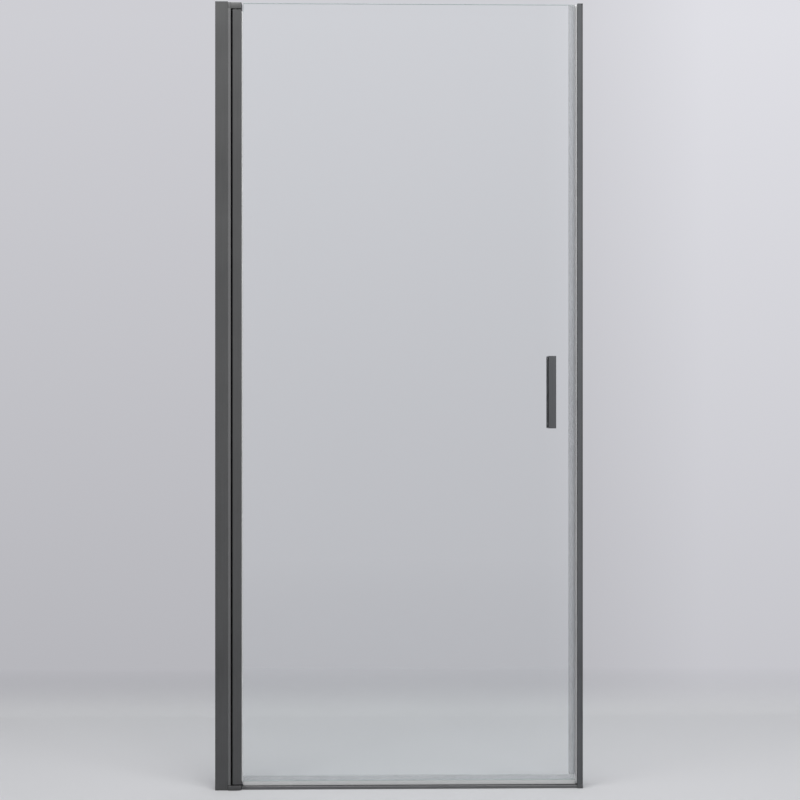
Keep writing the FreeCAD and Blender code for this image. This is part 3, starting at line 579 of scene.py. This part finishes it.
# Each finish has its material's name, the direction, the deep and the pale tone, roughness and fineness.
METALS = {
    "upright": ("gunmetal_upright", UPRIGHT, *GUNMETAL, 0.40, 900.0),
    "post": ("gunmetal_post", UPRIGHT, *POST_METAL, 0.36, 900.0),
    "cool": ("gunmetal_cool", UPRIGHT, *COOL_METAL, 0.40, 900.0),
    "lengthwise": ("gunmetal_lengthwise", LENGTHWISE, *SILL_METAL, 0.42, 900.0),
    "bracket": ("gunmetal_bracket", ALL_WAYS, *GUNMETAL, 0.46, 420.0),
    "steel": ("stainless_steel", ALL_WAYS, *STEEL, 0.30, 700.0),
}

finishes = {finish: satin_metal(*recipe) for finish, recipe in METALS.items()}
print("metal finishes:", list(finishes))

# %% [markdown]
# ## Moulded plastics and rubber
# The end closures are moulded in a grey that follows the metal but stays duller. The bearings are black
# nylon. The lip in the hinge gap is black rubber, darker than plain rubber as painted shade in the gap, and
# the lining of the finger grooves is a sheet of it that paints the shade deep in the grooves. The magnetic
# bars are a pale, powder-filled strip. All have the pebbled skin of a mould.

# %% Moulded finishes
MOULD_SMOOTHER = 0.06
MOULD_ROUGHER = 0.08
PEBBLE_BUMP = 0.3
PEBBLE_DEPTH = 0.00006
CAP_GREY = ((0.074, 0.076, 0.080, 1), (0.094, 0.096, 0.100, 1))
NYLON_BLACK = ((0.017, 0.017, 0.018, 1), (0.026, 0.026, 0.027, 1))
# Painted shade: darker than plain black rubber, to deepen the shade in the hinge gap and the finger grooves.
RUBBER_BLACK_AND_PAINTED_SHADE = ((0.005, 0.005, 0.006, 1), (0.011, 0.011, 0.012, 1))
MAGNET_PALE = ((0.66, 0.665, 0.675, 1), (0.76, 0.765, 0.775, 1))
# Each finish has its material's name, the deep and the pale tone, roughness, fineness and sheen.
MOULDINGS = {
    "cap": ("grey_moulding", *CAP_GREY, 0.48, 1400.0, 0.5),
    "nylon": ("black_nylon", *NYLON_BLACK, 0.45, 1100.0, 0.45),
    "rubber": ("black_rubber", *RUBBER_BLACK_AND_PAINTED_SHADE, 0.62, 1600.0, 0.35),
    "magnet": ("magnet_strip", *MAGNET_PALE, 0.55, 2000.0, 0.4),
}


def moulded(name, deep, pale, rough, pebbles, sheen):
    """A pebbled plastic or rubber skin."""
    material, tree = new_material(name)
    inputs = {"Place": object_place(tree), "Pebbles": pebbles}
    effect = add_node(tree, "ShaderNodeGroup", inputs, node_tree=moulded_skin).outputs
    shader = add_node(tree, "ShaderNodeBsdfPrincipled", {
        "Base Color": mixed(tree, effect["Drift"], deep, pale),
        "Roughness": spread_to(tree, effect["Pebble"], rough - MOULD_SMOOTHER, rough + MOULD_ROUGHER),
        "Specular IOR Level": sheen,
        "Normal": bumped(tree, effect["Pebble"], PEBBLE_BUMP, PEBBLE_DEPTH),
    })
    end_with(tree, shader.outputs[0])
    return material


finishes.update({finish: moulded(*recipe) for finish, recipe in MOULDINGS.items()})
print("moulded finishes:", list(MOULDINGS))


# %% [markdown]
# ## Clear vinyl
# The seals are drawn from clear vinyl, which is a little milky: part of the light passes straight through
# and the rest scatters. An alpha below one gives that, and it never turns black in the narrow lips, as
# true refraction would. The drip seal has soft fins of milkier vinyl, which start where the glass ends, so
# its recipe can turn milky below a height.

# %% Vinyl
VINYL_SMOOTH = 0.18
VINYL_DULL = 0.30
VINYL_BENDS_LIGHT = 1.46
VINYL_BUMP = 0.2
VINYL_DEPTH = 0.00005
FIN_TONE = (0.73, 0.735, 0.74, 1)
FIN_ALPHA = 0.85
FIN_FADE = 0.001


def vinyl_finish(name, stretch, deep, pale, clear, cloudy, fin_top=None):
    """Milky clear vinyl, drawn along one direction. clear and cloudy are the least and the most alpha, and
    below fin_top the vinyl is milky."""
    material, tree = new_material(name)
    place = object_place(tree)
    inputs = {"Place": place, "Stretch": stretch}
    effect = add_node(tree, "ShaderNodeGroup", inputs, node_tree=drawn_vinyl).outputs
    tone = mixed(tree, spread_to(tree, effect["Line"], 0, 1, NOISE_LOW, NOISE_HIGH), deep, pale)
    alpha = spread_to(tree, effect["Wave"], clear, cloudy, NOISE_LOW, NOISE_HIGH)
    if fin_top is not None:
        height = add_node(tree, "ShaderNodeSeparateXYZ", {"Vector": place}).outputs["Z"]
        milky = spread_to(tree, height, 1, 0, fin_top, fin_top + FIN_FADE)
        tone = mixed(tree, milky, tone, FIN_TONE)
        alpha = math_node(tree, "MAXIMUM", alpha, math_node(tree, "MULTIPLY", milky, FIN_ALPHA))
    shader = add_node(tree, "ShaderNodeBsdfPrincipled", {
        "Base Color": tone,
        "Roughness": spread_to(tree, effect["Wave"], VINYL_SMOOTH, VINYL_DULL, NOISE_LOW, NOISE_HIGH),
        "IOR": VINYL_BENDS_LIGHT,
        "Alpha": alpha,
        "Normal": bumped(tree, effect["Line"], VINYL_BUMP, VINYL_DEPTH),
    })
    end_with(tree, shader.outputs[0])
    return material


print("recipe:", vinyl_finish.__name__)

# %% [markdown]
# The strip under the glass is the clearest, and the one on its free edge is a little denser. The lips that
# press on the glass, and the strip in the strike profile, are milkier and nearly white.

# %% Vinyl finishes
CLEAR_VINYL = ((0.50, 0.51, 0.535, 1), (0.58, 0.59, 0.615, 1))
MILKY_VINYL = ((0.88, 0.885, 0.89, 1), (0.93, 0.935, 0.94, 1))
glass_low, glass_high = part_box("glass_panel")
# Each finish has its material's name, the direction, the deep and the pale tone, and the range of alpha.
VINYLS = {
    "vinyl_upright": ("clear_vinyl_upright", UPRIGHT, *CLEAR_VINYL, 0.29, 0.32),
    "vinyl_lengthwise": ("clear_vinyl_lengthwise", LENGTHWISE, *CLEAR_VINYL, 0.14, 0.17, glass_low.z),
    "milky_upright": ("milky_vinyl_upright", UPRIGHT, *MILKY_VINYL, 0.72, 0.84),
}

finishes.update({finish: vinyl_finish(*recipe) for finish, recipe in VINYLS.items()})
print("vinyl finishes:", list(VINYLS))

# %% [markdown]
# ## Glass
# The pane is clear float glass with a trace of blue green. Its tint drifts a little over the pane and its
# polish carries the faintest film. Lamps shine through it: for rays that go to a lamp the pane is a tinted
# film, because a path tracer would otherwise draw a black shadow behind it.

# %% Glass
GLASS_CLEAR = (0.962, 0.976, 0.979, 1)
GLASS_DEEP = (0.953, 0.970, 0.973, 1)
GLASS_SHADOW = (0.91, 0.925, 0.925, 1)
GLASS_BENDS_LIGHT = 1.5
TINT_STRETCH = (1.0, 1.0, 0.3)
TINT_DRIFT = {"scale": 1.6}
TINT_LOW = 0.35
TINT_HIGH = 0.65
FILM = {"scale": 7.0, "detail": 3.0}
FILM_ROUGH = 0.012
FILM_LOW = 0.45
FILM_HIGH = 0.75

finishes["glass"], tree = new_material("clear_glass")
place = object_place(tree)
tint = noise(tree, stretched(tree, place, TINT_STRETCH), **TINT_DRIFT)
film = noise(tree, place, **FILM)
polished = add_node(tree, "ShaderNodeBsdfPrincipled", {
    "Base Color": mixed(tree, spread_to(tree, tint, 0, 1, TINT_LOW, TINT_HIGH), GLASS_CLEAR, GLASS_DEEP),
    "Metallic": 0.0,
    "Roughness": spread_to(tree, film, 0.0, FILM_ROUGH, FILM_LOW, FILM_HIGH),
    "IOR": GLASS_BENDS_LIGHT,
    "Transmission Weight": 1.0,
}).outputs[0]
shadow = add_node(tree, "ShaderNodeBsdfTransparent", {"Color": GLASS_SHADOW}).outputs[0]
rays = add_node(tree, "ShaderNodeLightPath").outputs
lamp_ray = math_node(tree, "MAXIMUM", rays["Is Shadow Ray"], rays["Is Diffuse Ray"])
end_with(tree, mix_shaders(tree, lamp_ray, polished, shadow))
print("glass nodes:", len(tree.nodes))

# %% [markdown]
# The ground edge of the pane is another surface. It is fine and matt, and it gathers the green of the
# glass, because light that reaches it has travelled a long way through the pane.

# %% Ground edge of the glass
EDGE_DEEP = (0.40, 0.53, 0.50, 1)
EDGE_PALE = (0.56, 0.67, 0.64, 1)
EDGE_PEBBLES = 2400.0
EDGE_SMOOTH = 0.32
EDGE_DULL = 0.46
EDGE_BUMP = 0.2
EDGE_DEPTH = 0.00004

finishes["glass_edge"], tree = new_material("ground_glass_edge")
inputs = {"Place": object_place(tree), "Pebbles": EDGE_PEBBLES}
effect = add_node(tree, "ShaderNodeGroup", inputs, node_tree=moulded_skin).outputs
shader = add_node(tree, "ShaderNodeBsdfPrincipled", {
    "Base Color": mixed(tree, effect["Drift"], EDGE_DEEP, EDGE_PALE),
    "Roughness": spread_to(tree, effect["Pebble"], EDGE_SMOOTH, EDGE_DULL),
    "Normal": bumped(tree, effect["Pebble"], EDGE_BUMP, EDGE_DEPTH),
})
end_with(tree, shader.outputs[0])
print("edge nodes:", len(tree.nodes))

# %% [markdown]
# ## Dressing the solids
# Each solid of the frame keeps its shape and takes one of the finishes. Profiles that stand take the
# upright grain, and what lies along the floor takes the lengthwise one.

# %% Finishes of the nodes
FINISH_OF = {
    "post": ["hinge_post"],
    "upright": ["hinge_wall_channel", "hinge_stile", "strike_wall_rail"],
    "cool": ["strike_cover", "handle_outside", "handle_inside"],
    "lengthwise": ["threshold_bar"],
    "bracket": ["top_pivot_bracket", "bottom_pivot_bracket"],
    "steel": ["adjust_screws", "top_bracket_screws", "top_pivot_pin", "bottom_bracket_screws",
              "bottom_pivot_pin", "pin_grub_screws", "strike_cover_screws", "handle_bolts"],
    "cap": ["channel_top_cap", "adjust_screw_caps", "threshold_end_cap", "strike_foot", "strike_top_cap",
            "stile_top_cap", "stile_bottom_cap", "handle_bolt_caps"],
    "nylon": ["thrust_washer", "top_bush", "bottom_bush", "glass_setting_block", "handle_sleeves"],
    # Painted shade: the black rubber darkens the hinge gap, and the liners are a black sheet where the finger
    # grooves hold only shade.
    "rubber": ["hinge_gap_seal", "handle_liners"],
    "magnet": ["door_magnet", "strike_magnet"],
    "vinyl_upright": ["door_magnet_seal", "handle_gaskets"],
    "milky_upright": ["glazing_gasket", "strike_magnet_seal"],
    "vinyl_lengthwise": ["drip_seal"],
    "glass": ["glass_panel"],
}

for finish, names in FINISH_OF.items():
    for name in names:
        nodes[name].data.materials.clear()
        nodes[name].data.materials.append(finishes[finish])
print("dressed nodes:", sum(len(names) for names in FINISH_OF.values()), "of", len(nodes))


# %% [markdown]
# ## Copies of the solids
# Some pieces need more than their solid has: a second finish, or a softened edge. They start as a copy of
# the solid. A solid arrives as loose triangles, so the copy is merged into one skin, and the cuts between
# triangles of one flat face are dissolved. When it is finished, the copy is shown in the solid's place.

# %% Copying a solid
MERGE = 0.00001
FLAT_ANGLE = math.radians(0.5)
SMOOTH_ANGLE = math.radians(30)


def copy_of(node, name):
    """A copy of a solid, merged into one skin, without the cuts between triangles of one flat face."""
    select_only(nodes[node])
    bpy.ops.object.duplicate()
    piece = bpy.context.object
    piece.name = name
    del piece["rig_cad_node"]
    bpy.ops.mesh.customdata_custom_splitnormals_clear()
    bpy.ops.object.mode_set(mode="EDIT")
    bpy.ops.mesh.select_all(action="SELECT")
    bpy.ops.mesh.remove_doubles(threshold=MERGE)
    bpy.ops.mesh.dissolve_limited(angle_limit=FLAT_ANGLE)
    select_only(piece)
    return piece


def stand_in(piece, body, node):
    """Shades a copy, and shows it in the place of its solid."""
    select_only(piece)
    bpy.ops.object.shade_smooth_by_angle(angle=SMOOTH_ANGLE)
    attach(piece, body)
    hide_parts(node)


# %% [markdown]
# ## Glass pane with its ground edge
# The pane keeps the shape of its solid. The faces that do not look along Y, which are the edges, the seams
# beside them and the bolt holes, take the ground finish.

# %% Glass pane
LOOKS_ALONG_Y = 0.9

pane = copy_of("glass_panel", "glass_pane")
pane.data.materials.append(finishes["glass_edge"])
edges = pick_faces(pane, lambda normal: abs(normal.y) < LOOKS_ALONG_Y)
pane.active_material_index = len(pane.data.materials) - 1
bpy.ops.object.material_slot_assign()
stand_in(pane, "leaf", "glass_panel")
print("pane faces:", len(pane.data.polygons), "of which edges:", edges)

# %% [markdown]
# ## Softened edges
# Cast brackets, moulded caps and the handles never have a sharp edge: the mould and the tumbling barrel
# round them. The black liners in the grooves, which paint the shade there, the pads under the handles and
# the magnetic bars are soft, and round too. A narrow bevel on a copy of each solid gives its outer edges
# the thin highlight that makes metal and plastic look solid.
#
# Only sharp edges that lie on chosen sides of the solid's box are bevelled. The brackets leave out those
# that the channel, the post and the bearings cover. The bevel only takes material away, so fits and sizes
# stay as they are.

# %% What is softened
ALL_SIDES = "-x +x -y +y -z +z"
HANDLE_SIDES = "-x +x -z +z"
ENDS = "-z +z"
HINGE_COVERS = ("hinge_wall_channel", "hinge_post", "thrust_washer", "top_bush", "bottom_bush")
# Each solid has its body, the width of the bevel, the sides with edges to soften, and what covers it.
SOFT_EDGES = {
    "top_pivot_bracket": ("frame", 0.0004, ENDS, HINGE_COVERS),
    "bottom_pivot_bracket": ("frame", 0.0006, ENDS, HINGE_COVERS),
    "channel_top_cap": ("frame", 0.0003, ALL_SIDES, ()),
    "strike_top_cap": ("frame", 0.0003, ALL_SIDES, ()),
    "strike_foot": ("frame", 0.0005, ALL_SIDES, ()),
    "threshold_end_cap": ("frame", 0.0004, ALL_SIDES, ()),
    "handle_outside": ("leaf", 0.0003, HANDLE_SIDES, ()),
    "handle_inside": ("leaf", 0.0003, HANDLE_SIDES, ()),
    # The liners are the black sheet that paints the shade in the finger grooves.
    "handle_liners": ("leaf", 0.0003, "-x", ()),
    "handle_gaskets": ("leaf", 0.0003, HANDLE_SIDES, ()),
    "door_magnet": ("leaf", 0.0005, ALL_SIDES, ()),
    "strike_magnet": ("frame", 0.0005, ALL_SIDES, ()),
}
print("solids to soften:", len(SOFT_EDGES))


# %% [markdown]
# Blender finds sharp edges by the angle between their faces. Each of them is then tested: both its ends
# have to lie on one of the chosen sides, and not both in the box of a neighbour that covers it.

# %% Finding the edges
SHARP_ANGLE = math.radians(35)


def side_planes(node, sides):
    """The axis and level of each named side of a solid's box."""
    low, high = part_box(node)
    planes = []
    for side in sides.split():
        axis = "xyz".index(side[1])
        planes.append((axis, (low if side[0] == "-" else high)[axis]))
    return planes


def within(point, low, high):
    """Whether a point lies in a box."""
    return all(low[i] - MERGE < point[i] < high[i] + MERGE for i in range(3))


def mark_sharp(piece):
    """Marks the sharp edges of a piece, and none of its faces."""
    bpy.ops.object.mode_set(mode="EDIT")
    bpy.ops.mesh.select_mode(type="EDGE")
    bpy.ops.mesh.select_all(action="DESELECT")
    bpy.ops.mesh.edges_select_sharp(sharpness=SHARP_ANGLE)
    leave_edit_mode()
    piece.data.polygons.foreach_set("select", [False] * len(piece.data.polygons))


print("sides of a bracket:", side_planes("top_pivot_bracket", ENDS))

# %% [markdown]
# The bevel keeps an even width where a cut across a flat face meets the edge, because sliding along that
# cut would pull the corner out of shape. Points that fall together in tight corners are dissolved.

# %% Rounded brackets, caps, handles and bars
BEVEL_STEPS = 3


def soften(piece, planes, covers, width):
    """Bevels the sharp edges that lie on one of the planes and in none of the covers, and counts them."""
    mark_sharp(piece)
    points = piece.data.vertices
    for edge in piece.data.edges:
        ends = [points[i].co for i in edge.vertices]
        outer = any(all(abs(end[axis] - level) < MERGE for end in ends) for axis, level in planes)
        covered = any(all(within(end, *cover) for end in ends) for cover in covers)
        edge.select = edge.select and outer and not covered
    chosen = sum(edge.select for edge in piece.data.edges)
    bpy.ops.object.mode_set(mode="EDIT")
    bpy.ops.mesh.bevel(offset=width, segments=BEVEL_STEPS, loop_slide=False, clamp_overlap=False)
    bpy.ops.mesh.select_all(action="SELECT")
    bpy.ops.mesh.dissolve_degenerate(threshold=MERGE)
    return chosen


for node, (body, width, sides, covers) in SOFT_EDGES.items():
    piece = copy_of(node, node + "_soft")
    rounded = soften(piece, side_planes(node, sides), [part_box(cover) for cover in covers], width)
    stand_in(piece, body, node)
    print(piece.name, "edges rounded:", rounded, "faces:", len(piece.data.polygons))


# %% [markdown]
# ## Drawing soft strips
# The seals are drawn through a die, so each has one section along its whole length. The section starts as
# one small patch across the strip, at one end of it. A strip runs along X or along Z, so a place in the
# section is given by two numbers: Y and Z in the first case, X and Y in the second.

# %% First patch of a section
def across(axis, along, a, b):
    """A place from its distance along a strip and its two places across."""
    return Vector((along, a, b)) if axis == "x" else Vector((a, b, along))


def first_patch(name, axis, along, low, high):
    """A flat patch across a strip, between two corners."""
    clear_selection()
    middle = across(axis, along, (low[0] + high[0]) / 2, (low[1] + high[1]) / 2)
    turn = (0, math.radians(90), 0) if axis == "x" else (0, 0, 0)
    bpy.ops.mesh.primitive_plane_add(size=1, location=middle, rotation=turn)
    piece = bpy.context.object
    piece.name = name
    piece["axis"] = axis
    piece["along"] = along
    width, depth = high[0] - low[0], high[1] - low[1]
    piece.scale = (depth, width, 1) if axis == "x" else (width, depth, 1)
    bpy.ops.object.transform_apply(location=True, rotation=True, scale=True)
    return piece


# %% [markdown]
# The edges of the patch are extruded step by step into walls, legs and lips. A step is two moves across
# the strip and the share of its width that the wall keeps, so a wall can bow and taper.

# %% Growing walls and lips
NEAR = 0.00001


def grow(piece, edge, steps):
    """Extrudes the edge whose middle is given, once for each step."""
    target = across(piece["axis"], piece["along"], *edge)
    found = pick_edges(piece, lambda a, b: ((a + b) / 2 - target).length < NEAR)
    assert found == 1, f"{piece.name}: {found} edges at {edge}"
    for a, b, width in steps:
        bpy.ops.mesh.extrude_region_move(TRANSFORM_OT_translate={"value": across(piece["axis"], 0, a, b)})
        piece.update_from_editmode()
        ends = [point.co for point in piece.data.vertices if point.select]
        bpy.ops.transform.resize(value=(width, width, width), center_override=(ends[0] + ends[1]) / 2)


def aside(*moves):
    """Straight steps along the first direction across."""
    return [(move, 0, 1) for move in moves]


def onward(*moves):
    """Straight steps along the second direction across."""
    return [(0, move, 1) for move in moves]


print("two straight steps:", onward(NEAR, NEAR))


# %% [markdown]
# The whole section is then extruded to the strip's length, and a subdivision surface rounds it, as soft
# vinyl is round. Short steps beside a corner keep that corner tight, and a short step at each end keeps
# the cut ends square. The strip takes its finish and the place of its solid.

# %% Drawing out a section
TIGHT = 0.0005
CLEAR = 0.00006
ROUNDING = 2
glass_face = glass_high.y + CLEAR


def draw_out(piece, length):
    """Extrudes the finished section to the strip's length, closes it and rounds it."""
    bpy.ops.mesh.select_mode(type="FACE")
    bpy.ops.mesh.select_all(action="SELECT")
    bpy.ops.mesh.remove_doubles(threshold=NEAR)
    for step in (TIGHT, length - 2 * TIGHT, TIGHT):
        bpy.ops.mesh.extrude_region_move(TRANSFORM_OT_translate={"value": across(piece["axis"], step, 0, 0)})
    bpy.ops.mesh.select_all(action="SELECT")
    bpy.ops.mesh.normals_make_consistent(inside=False)
    select_only(piece)
    bpy.ops.object.modifier_add(type="SUBSURF")
    piece.modifiers[-1].levels = ROUNDING
    piece.modifiers[-1].render_levels = ROUNDING
    bpy.ops.object.modifier_apply(modifier=piece.modifiers[-1].name)
    bpy.ops.object.shade_smooth()
    del piece["axis"], piece["along"]


def hand_over(piece, body, node, finish):
    """Gives a strip its finish, and puts it in the place of its solid."""
    piece.data.materials.append(finishes[finish])
    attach(piece, body)
    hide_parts(node)
    size = [round(1000 * v, 1) for v in piece.dimensions]
    print(piece.name, "faces:", len(piece.data.polygons), "size in mm:", size)


print("face of the glass at:", round(glass_face, 5))

# %% [markdown]
# ## Drip seal
# Under the glass hangs a clear strip. Its base lies along the lower edge of the glass, and is grown from
# the front leg's corner to the rear leg's.

# %% Base of the drip seal
LEG_WALL = 0.0009
DRIP_BASE = 0.0014

low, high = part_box("drip_seal")
leg_middle = glass_face + LEG_WALL / 2
base_top = glass_low.z - CLEAR
base_low = base_top - DRIP_BASE
half_base = glass_face - 2 * TIGHT

seal = first_patch("drip_strip", "x", low.x, (-glass_face - LEG_WALL, base_low), (-glass_face, base_top))
grow(seal, (-glass_face, (base_top + base_low) / 2),
     aside(TIGHT, half_base, 2 * TIGHT, half_base, TIGHT, LEG_WALL))
print("patches of the base:", len(seal.data.polygons))

# %% [markdown]
# Two thin legs clip over the glass. They bow outwards and touch it only near the top, where their rims
# flare.

# %% Legs of the drip seal
LEG_SHARES = (0.36, 0.30, 0.22, 0.12)
LEG_WIDTHS = (1, 1, 1, 0.95, 0.7)
LEG_BOW = 0.12

leg_rise = high.z - base_top
rises = [TIGHT, *(share * leg_rise for share in LEG_SHARES)]
rises[-1] -= TIGHT
for side in (-1, 1):
    bow = side * LEG_WALL * LEG_BOW
    grow(seal, (side * leg_middle, base_top), zip((0, bow, 0, -bow, 2 * bow), rises, LEG_WIDTHS))
print("legs rise:", round(leg_rise, 4))

# %% [markdown]
# Three fins hang from the base. The front and middle ones wipe the threshold, and the rear one sweeps into
# the shower and throws the water back.

# %% Fins of the drip seal
FRONT_SHARES = (0.35, 0.35, 0.28)
FRONT_WIDTHS = (1, 0.9, 0.85, 0.8)
MIDDLE_SHARES = (0.33, 0.34, 0.28)
MIDDLE_LEANS = (0, 0.00025, 0.0005, 0.0007)
MIDDLE_WIDTHS = (0.9, 0.85, 0.85, 0.8)
REAR_SHARES = (0.24, 0.28, 0.26, 0.13)
REAR_SWEEPS = (0, 0.12, 0.28, 0.36, 0.24)
REAR_WIDTHS = (1, 0.95, 0.95, 0.95, 0.85)

fin_drop = base_low - low.z
sweep = high.y - leg_middle - LEG_WALL
drops = [-TIGHT, *(-share * fin_drop for share in FRONT_SHARES)]
drops[1] += TIGHT
grow(seal, (-leg_middle, base_low), zip((0, 0, 0, 0), drops, FRONT_WIDTHS))
drops = [-TIGHT, *(-share * fin_drop for share in MIDDLE_SHARES)]
drops[1] += TIGHT
grow(seal, (0, base_low), zip(MIDDLE_LEANS, drops, MIDDLE_WIDTHS))
drops = [-TIGHT, *(-share * fin_drop for share in REAR_SHARES)]
grow(seal, (leg_middle, base_low), zip((share * sweep for share in REAR_SWEEPS), drops, REAR_WIDTHS))
draw_out(seal, high.x - low.x)
hand_over(seal, "leaf", "drip_seal", "vinyl_lengthwise")

# %% [markdown]
# ## Magnetic seals
# The free edge of the glass carries a strip with two legs and a closed pocket, and a like pocket sits in
# the strike profile. A magnetic bar lies in each pocket, and shows through the vinyl as a pale band. The
# section starts with the wall that stands on the edge of the glass, between the legs and the pocket.

# %% Wall of the seal on the glass
SKIN = 0.0006
ROOM = 0.00005

low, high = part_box("door_magnet_seal")
bar_low, bar_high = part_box("door_magnet")
pocket_half = bar_high.y + ROOM
pocket_start = bar_low.x - ROOM
pocket_end = high.x - SKIN
wall_start = glass_high.x + CLEAR
shoulder = pocket_half - glass_face - LEG_WALL

seal = first_patch(
    "door_seal_strip", "z", low.z, (wall_start, -pocket_half - SKIN), (pocket_start, -pocket_half))
grow(seal, ((wall_start + pocket_start) / 2, -pocket_half), onward(
    shoulder, LEG_WALL, TIGHT, 2 * (glass_face - TIGHT), TIGHT, LEG_WALL, shoulder, SKIN))
print("patches of the wall:", len(seal.data.polygons))

# %% [markdown]
# The legs grip the glass and bow as those of the drip seal do. The pocket is a ring, so its skin is
# extruded all the way round and its last edge is merged with its first.

# %% Legs and pocket of the seal on the glass
GRIP_SHARES = (0.42, 0.40, 0.18)
GRIP_WIDTHS = (1, 1, 0.95, 0.7)
GRIP_BOW = 0.06

grip = wall_start - low.x
reaches = [-TIGHT, *(-share * grip for share in GRIP_SHARES)]
reaches[-1] += TIGHT
for side in (-1, 1):
    bow = side * LEG_WALL * GRIP_BOW
    grow(seal, (wall_start, side * leg_middle), zip(reaches, (0, bow, -bow, 2 * bow), GRIP_WIDTHS))

skin_middle = pocket_half + SKIN / 2
pocket_depth = pocket_end - pocket_start - 2 * TIGHT
pocket_front = onward(TIGHT, 2 * (pocket_half - TIGHT), TIGHT, SKIN)
grow(seal, (pocket_start, -skin_middle), aside(TIGHT, pocket_depth, TIGHT, SKIN))
grow(seal, (pocket_end + SKIN / 2, -pocket_half), pocket_front)
grow(seal, (pocket_end, skin_middle), aside(-TIGHT, -pocket_depth, -TIGHT))
draw_out(seal, high.z - low.z)
hand_over(seal, "leaf", "door_magnet_seal", "vinyl_upright")

# %% [markdown]
# The strip on the strike side has the same pocket, turned about: its skin faces the leaf, and its back
# wall lies on the profile.

# %% Pocket of the seal on the strike
NECK_HALF = 0.0026

low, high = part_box("strike_magnet_seal")
cover_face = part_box("strike_cover")[0].x
pocket_start = low.x + SKIN
pocket_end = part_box("strike_magnet")[1].x + ROOM
pocket_depth = pocket_end - pocket_start - 2 * TIGHT
back_wall = cover_face - CLEAR - pocket_end
beside_neck = pocket_half - NECK_HALF

seal = first_patch(
    "strike_seal_strip", "z", low.z, (low.x, -pocket_half - SKIN), (pocket_start, -pocket_half))
grow(seal, (low.x + SKIN / 2, -pocket_half), pocket_front)
grow(seal, (pocket_start, -skin_middle), aside(TIGHT, pocket_depth, TIGHT, back_wall))
grow(seal, (pocket_end + back_wall / 2, -pocket_half), onward(beside_neck, 2 * NECK_HALF, beside_neck, SKIN))
grow(seal, (pocket_end, skin_middle), aside(-TIGHT, -pocket_depth, -TIGHT))
print("back wall:", round(back_wall, 5))

# %% [markdown]
# A neck behind the pocket passes through the slot of the profile, and a wider foot holds it there.

# %% Neck and foot of the seal on the strike
FOOT_DEPTH = 0.0013
FOOT_WIDTH = 0.8

neck_start = pocket_end + back_wall
neck_length = high.x - FOOT_DEPTH - cover_face
foot_middle = neck_start + neck_length + FOOT_DEPTH / 2
grow(seal, (neck_start, 0), aside(TIGHT, neck_length - TIGHT, FOOT_DEPTH))
for side in (-1, 1):
    grow(seal, (foot_middle, side * NECK_HALF), [(0, side * TIGHT, 1), (0, side * TIGHT, FOOT_WIDTH)])
draw_out(seal, high.z - low.z)
hand_over(seal, "frame", "strike_magnet_seal", "milky_upright")

# %% [markdown]
# ## Glazing gasket
# A milky gasket wraps the edge of the glass inside the stile. Outside the stile its two lips run out on
# the glass in a soft wedge, which catches the light as a fine bright line.

# %% Glazing gasket
LIP_SHARES = (0.3, 0.45, 0.25)
LIP_WIDTHS = (1, 1, 1, 0.7, 0.57)
LIP_LEAN = 0.15

low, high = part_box("glazing_gasket")
stile_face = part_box("hinge_stile")[1].x
gasket_wall = high.y - CLEAR - glass_face
outer_wall = low.x + CLEAR
inner_wall = glass_low.x - CLEAR
lip = high.x - stile_face

seal = first_patch(
    "gasket_strip", "z", low.z, (outer_wall, -glass_face - gasket_wall), (inner_wall, -glass_face))
grow(seal, ((outer_wall + inner_wall) / 2, -glass_face),
     onward(TIGHT, 2 * (glass_face - TIGHT), TIGHT, gasket_wall))
reaches = [TIGHT, stile_face - inner_wall - TIGHT, *(share * lip for share in LIP_SHARES)]
for side in (-1, 1):
    lean = -side * gasket_wall * LIP_LEAN
    grow(seal, (inner_wall, side * (glass_face + gasket_wall / 2)),
         zip(reaches, (0, 0, 0, lean, lean), LIP_WIDTHS))
draw_out(seal, high.z - low.z)
hand_over(seal, "leaf", "glazing_gasket", "milky_upright")

# %% [markdown]
# ## Lip in the hinge gap
# A black rubber lip closes the gap between the post and the stile. Its rubber is darker than plain rubber,
# as painted shade in the gap. Its foot sits behind the wall of the post, and the lip narrows towards the
# stile, so that it can bend when the stile turns.

# %% Hinge gap lip
LIP_NECK = 0.0016
LIP_FOOT = 0.0015
REACH_SHARES = (0.2, 0.5, 0.3)
REACH_WIDTHS = (1, 1, 0.75, 0.85, 0.75)

low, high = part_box("hinge_gap_seal")
post_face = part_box("hinge_post")[1].x
neck_half = LIP_NECK / 2
lip_y = (low.y + high.y) / 2
foot_face = low.x + LIP_FOOT
foot_wing = high.y - lip_y - neck_half - TIGHT
reach = high.x - post_face

seal = first_patch("hinge_gap_lip", "z", low.z, (low.x, lip_y - neck_half), (foot_face, lip_y + neck_half))
for side in (-1, 1):
    grow(seal, (low.x + LIP_FOOT / 2, lip_y + side * neck_half),
         [(0, side * TIGHT, 1), (0, side * foot_wing, FOOT_WIDTH)])
reaches = [TIGHT, post_face - foot_face - TIGHT, *(share * reach for share in REACH_SHARES)]
grow(seal, (foot_face, lip_y), zip(reaches, (0, 0, 0, 0, 0), REACH_WIDTHS))
draw_out(seal, high.z - low.z)
# The darkened rubber paints the shade in the hinge gap.
hand_over(seal, "frame", "hinge_gap_seal", "rubber")
